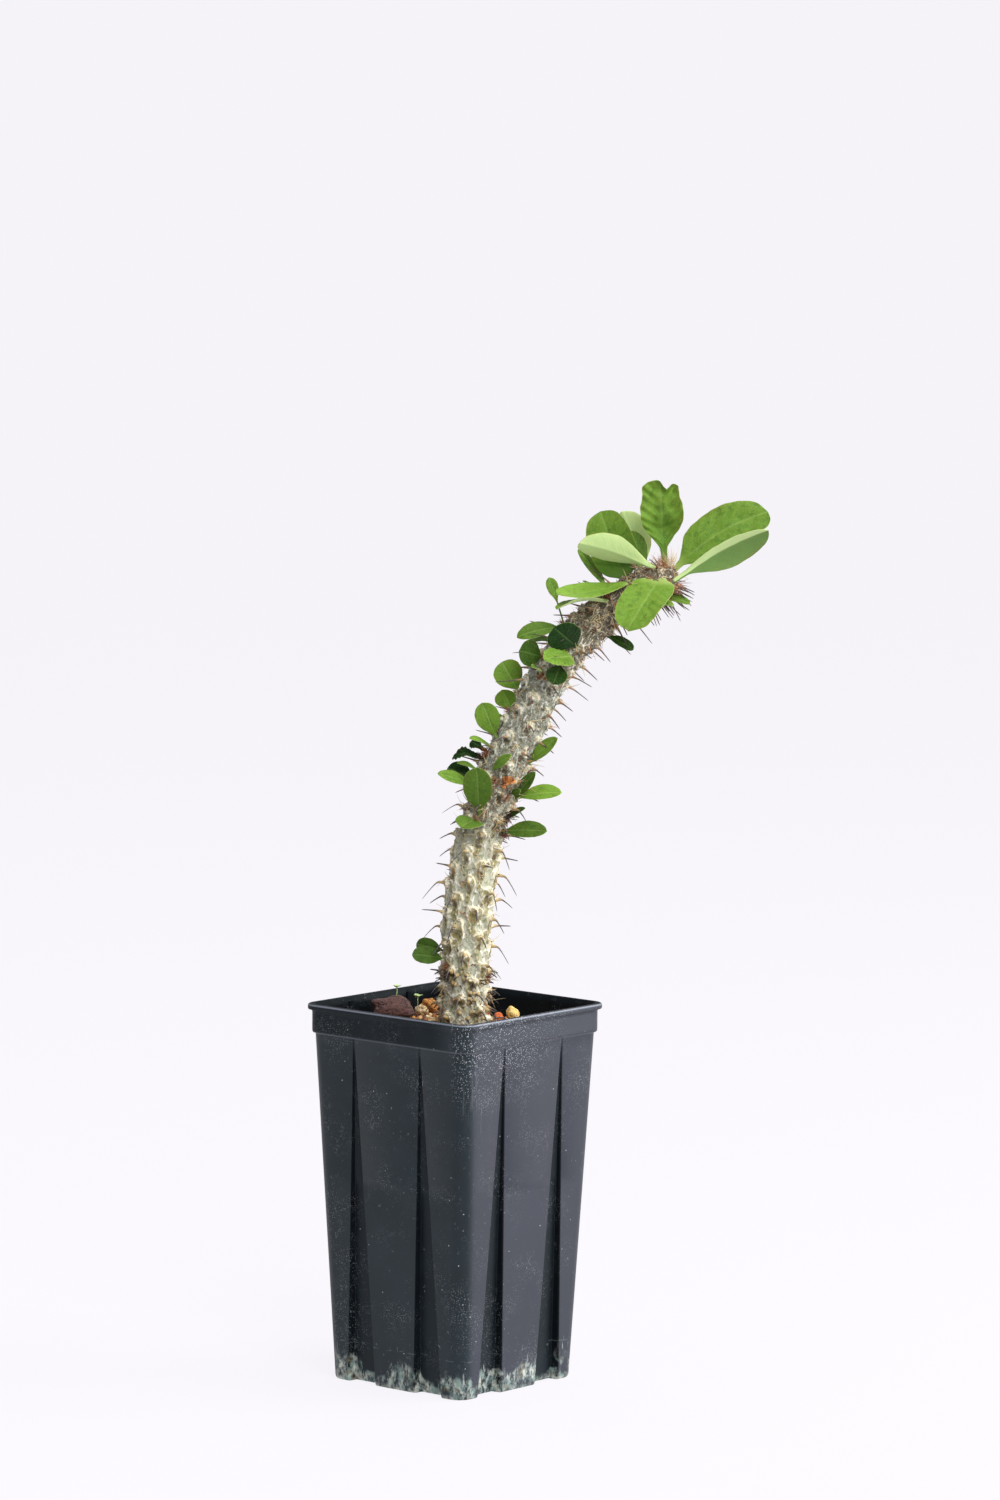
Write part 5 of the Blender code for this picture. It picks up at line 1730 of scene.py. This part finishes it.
class EUPHORBIA_OT_stones(bpy.types.Operator):
    """Lay the lava rock, pumice and grit on the mix"""

    bl_idname = "euphorbia.stones"
    bl_label = "Stones"

    def execute(self, context):
        settings = context.scene.euphorbia_mix
        lava = (scaled(settings.lava, 0.5), tuple(settings.lava), shade(150, 112, 96))
        gold = (shade(176, 106, 46), tuple(settings.gold), shade(240, 206, 150))
        tan = (shade(170, 138, 96), shade(226, 204, 164), shade(244, 232, 206))
        straw = (shade(196, 158, 78), shade(238, 212, 138), shade(250, 238, 196))
        rust = (shade(164, 74, 34), shade(216, 118, 60), shade(240, 190, 140))
        finishes = {
            "lava_stone": grit_finish("lava_rock_red", *lava, 1.1, 0.9),
            "pumice_gold": grit_finish("pumice_golden", *gold, 0.9, 0.9),
            "pumice_tan": grit_finish("pumice_pale", *tan, 0.8),
            "pumice_yellow": grit_finish("pumice_straw", *straw, 0.8),
            "grit_orange": grit_finish("grit_rusty", *rust, 0.7, 0.9),
        }
        for name, (s, d), size, seed, slot in STONES:
            shape = stone_shape(size, seed)
            bmesh.ops.rotate(shape, matrix=Matrix.Rotation(LEAN_HEADING, 3, "Z"), verts=shape.verts)
            bmesh.ops.translate(shape, vec=stone_spot(s, d, size, seed), verts=shape.verts)
            bmesh.ops.scale(shape, vec=(MM, MM, MM), verts=shape.verts)
            mesh = bpy.data.meshes.new(name)
            shape.to_mesh(mesh)
            shape.free()
            store_values(mesh, "tint", [0.0] * len(mesh.vertices))
            stone = put(f"{name}_stone", mesh, finishes[slot])
            keep(stone, slot, name)
        return {"FINISHED"}


class EUPHORBIA_OT_seedlings(bpy.types.Operator):
    """Grow the two small clover-like seedlings"""

    bl_idname = "euphorbia.seedlings"
    bl_label = "Seedlings"

    def execute(self, context):
        paint = Finish("seedling_leaf")
        tone = paint.cloud(1.5, 3.0)
        base = paint.mix(paint.step(tone, 0.35, 0.65), shade(152, 190, 112), shade(206, 224, 160))
        green = paint.done(base, 0.55 + tone * 0.1, paint.bump(tone, 0.3, 0.2))
        for name, (s, d), height, reach in SEEDLINGS:
            low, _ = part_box(name)
            foot = to_row((s, d, 0.0))
            mesh = clover(name, foot, low.z / MM, height, reach)
            seedling = put(f"{name}_clover", mesh, green)
            keep(seedling, "seedling_green", name)
        return {"FINISHED"}


class EUPHORBIA_OT_stem(bpy.types.Operator):
    """Grow the leaning stem with its rows of tubercles"""

    bl_idname = "euphorbia.stem"
    bl_label = "Stem"

    def execute(self, context):
        settings = context.scene.euphorbia_stem
        stem = Stem()
        skin = put("stem_bark_skin", stem_mesh(stem), bark_finish(settings))
        inputs = {
            "Density": 110000.0,
            "Length": 1.5 * MM,
            "Radius": settings.bristle_radius * 1.3,
            "Lean": 0.7,
            "Lift": 1.0,
            "Seed": 5,
            "Tone": 0.3,
            "Curl": 0.1,
            "Material": bristle_finish(),
        }
        tree = prickles_tree()
        prickles = grown("stem_prickles", skin, tree, inputs)
        inputs |= {
            "Density": 95000.0,
            "Length": 6.0 * MM,
            "Radius": settings.bristle_radius * 1.4,
            "Lean": 1.0,
            "Lift": 0.12,
            "Seed": 31,
            "Tone": 0.78,
            "Curl": 0.35,
        }
        fibres = grown("stem_fibres", skin, tree, inputs)
        keep(skin, "stem_skin", "stem")
        for piece in (prickles, fibres):
            piece.data.shade_smooth()
            keep(piece, "spines")
        return {"FINISHED"}


class EUPHORBIA_OT_spines(bpy.types.Operator):
    """Set the spines and the bristly buds on the stem"""

    bl_idname = "euphorbia.spines"
    bl_label = "Spines and bristles"

    def execute(self, context):
        settings = context.scene.euphorbia_stem
        stem = Stem()
        feet = point_cloud("spine_feet", spine_rows(stem), ("aim", "sag"), ("reach", "girth", "tint"))
        inputs = {"Radius": settings.spine_radius, "Bend From": 0.3, "Material": spine_finish(settings)}
        spines = grown("stem_spines", feet, spines_tree(), inputs)
        rows = tuft_rows(stem, TUFTS + [GROWTH_TIP])
        buds = point_cloud("bud_feet", rows, ("aim",), ("spread", "reach", "tint"), ("count",))
        inputs = {"Radius": settings.bristle_radius, "Seed": 3, "Material": bristle_finish()}
        tufts = grown("bud_bristles", buds, tufts_tree(), inputs)
        discard(feet, buds)
        for piece in (spines, tufts):
            piece.data.shade_smooth()
            keep(piece, "spines")
        return {"FINISHED"}


class EUPHORBIA_OT_leaves(bpy.types.Operator):
    """Grow every leaf of the crown and of the stem's side buds"""

    bl_idname = "euphorbia.leaves"
    bl_label = "Leaves"

    def execute(self, context):
        settings = context.scene.euphorbia_leaf
        stem = Stem()
        green = leaf_finish("leaf_skin", settings, 0.5)
        dark = leaf_finish("leaf_skin_dark", settings, 0.42)
        dried = dried_finish()
        thickness = settings.thickness / MM
        for name, along, turn, tip, width, face, *form in LEAVES:
            foot, _, _ = stem.spot(along, math.radians(turn), -0.8)
            mesh = leaf_mesh(name, foot, Vector(tip), width, Vector(face), *form, thickness)
            if name == "dried_bract":
                finish, slot = dried, "dried_leaf"
            elif name in DARK_LEAVES:
                finish, slot = dark, "leaf_dark"
            else:
                finish, slot = green, "leaf_green"
            blade = put(f"{name}_blade", mesh, finish)
            keep(blade, slot, name)
        return {"FINISHED"}


class EUPHORBIA_OT_stage(bpy.types.Operator):
    """Set up the pale floor and backdrop, the soft lights and the camera"""

    bl_idname = "euphorbia.stage"
    bl_label = "Stage"

    def execute(self, context):
        settings = context.scene.euphorbia_stage
        self.backdrop(settings)
        self.lights()
        self.camera(context, settings)
        return {"FINISHED"}

    @staticmethod
    def backdrop(settings):
        """A floor that curves up behind the plant, square to the camera."""
        profile = [(FLOOR_NEAR, 0.0), (FLOOR_FAR, 0.0)]
        for step in range(1, SWEEP_STEPS + 1):
            angle = math.pi / 2 * step / SWEEP_STEPS
            profile.append((FLOOR_FAR + SWEEP_RADIUS * math.sin(angle), SWEEP_RADIUS * (1 - math.cos(angle))))
        profile.append((FLOOR_FAR + SWEEP_RADIUS, SWEEP_HEIGHT))
        points, faces = [], []
        for across in (-SWEEP_HALF_WIDTH, SWEEP_HALF_WIDTH):
            points += [tuple(to_row((across, d, z))) for d, z in profile]
        count = len(profile)
        for i in range(count - 1):
            faces.append((i, count + i, count + i + 1, i + 1))
        mesh = bpy.data.meshes.new("sweep")
        mesh.from_pydata(points, [], faces)
        glow = tuple(settings.glow)
        paint = Finish("paper_sweep", emission_color=glow, emission_strength=1.0, specular_ior_level=0.0)
        tone = paint.cloud(900.0, 2.0)
        floor = tuple(settings.floor)
        base = paint.mix(paint.step(tone, 0.3, 0.7) * 0.04, floor, scaled(floor, 0.97))
        sweep = put("paper_sweep", mesh, paint.done(base, 0.9))

    @staticmethod
    def lights():
        """A large light on the right, one in front and one above, under a dim even sky."""
        aim = Vector(LAMPS_AIM)
        for name, spot, size, watts, tone in LAMPS:
            lamp = bpy.data.lights.new(name, "AREA")
            lamp.shape = "SQUARE"
            lamp.size = size
            lamp.energy = watts
            lamp.color = tone
            obj = bpy.data.objects.new(name, lamp)
            obj.location = to_row(spot)
            obj.visible_camera = False
            obj.rotation_euler = (obj.location - aim).to_track_quat("Z", "Y").to_euler()
            bpy.context.scene.collection.objects.link(obj)
        world = bpy.data.worlds.new("studio")
        world.use_nodes = True
        sky = world.node_tree.nodes["Background"]
        sky.inputs["Color"].default_value = (*SKY, 1.0)
        sky.inputs["Strength"].default_value = SKY_STRENGTH
        bpy.context.scene.world = world

    @staticmethod
    def camera(context, settings):
        """The camera looks along the lean frame's depth, from a little above the rim."""
        data = bpy.data.cameras.new("camera")
        data.lens = settings.lens
        data.sensor_fit = "VERTICAL"
        data.sensor_height = 36.0
        data.clip_end = 50.0
        camera = bpy.data.objects.new("camera", data)
        away = to_row((0.0, -math.cos(CAMERA_ELEVATION), math.sin(CAMERA_ELEVATION)))
        place = Matrix.Translation(Vector(CAMERA_CENTRE) + away * settings.distance)
        heading = Matrix.Rotation(LEAN_HEADING - CAMERA_PAN, 4, "Z")
        pitch = Matrix.Rotation(math.pi / 2 - CAMERA_PITCH, 4, "X")
        camera.matrix_world = place @ heading @ pitch @ Matrix.Rotation(CAMERA_ROLL, 4, "Z")
        context.scene.collection.objects.link(camera)
        context.scene.camera = camera
        context.scene.view_settings.view_transform = "Standard"


OPERATORS = (
    EUPHORBIA_OT_pot,
    EUPHORBIA_OT_mix,
    EUPHORBIA_OT_stones,
    EUPHORBIA_OT_seedlings,
    EUPHORBIA_OT_stem,
    EUPHORBIA_OT_spines,
    EUPHORBIA_OT_leaves,
    EUPHORBIA_OT_stage,
)


class EUPHORBIA_PT_panel(bpy.types.Panel):
    """Lists the settings and the pieces of the potted euphorbia"""

    bl_idname = "EUPHORBIA_PT_panel"
    bl_label = "Potted euphorbia"
    bl_space_type = "VIEW_3D"
    bl_region_type = "UI"
    bl_category = "Potted plant"

    def draw(self, context):
        for key, group in SETTINGS.items():
            column = self.layout.column(align=True)
            for prop in group.__annotations__:
                column.prop(getattr(context.scene, key), prop)
        for operator in OPERATORS:
            self.layout.operator(operator.bl_idname)


def register():
    for item in (*SETTINGS.values(), *OPERATORS, EUPHORBIA_PT_panel):
        bpy.utils.register_class(item)
    for key, group in SETTINGS.items():
        setattr(bpy.types.Scene, key, bpy.props.PointerProperty(type=group))


def unregister():
    for key in SETTINGS:
        delattr(bpy.types.Scene, key)
    for item in reversed((*SETTINGS.values(), *OPERATORS, EUPHORBIA_PT_panel)):
        bpy.utils.unregister_class(item)


def main():
    register()
    bpy.ops.euphorbia.pot()
    bpy.ops.euphorbia.mix()
    bpy.ops.euphorbia.stones()
    bpy.ops.euphorbia.seedlings()
    bpy.ops.euphorbia.stem()
    bpy.ops.euphorbia.spines()
    bpy.ops.euphorbia.leaves()
    bpy.ops.euphorbia.stage()


if __name__ == "__main__":
    main()
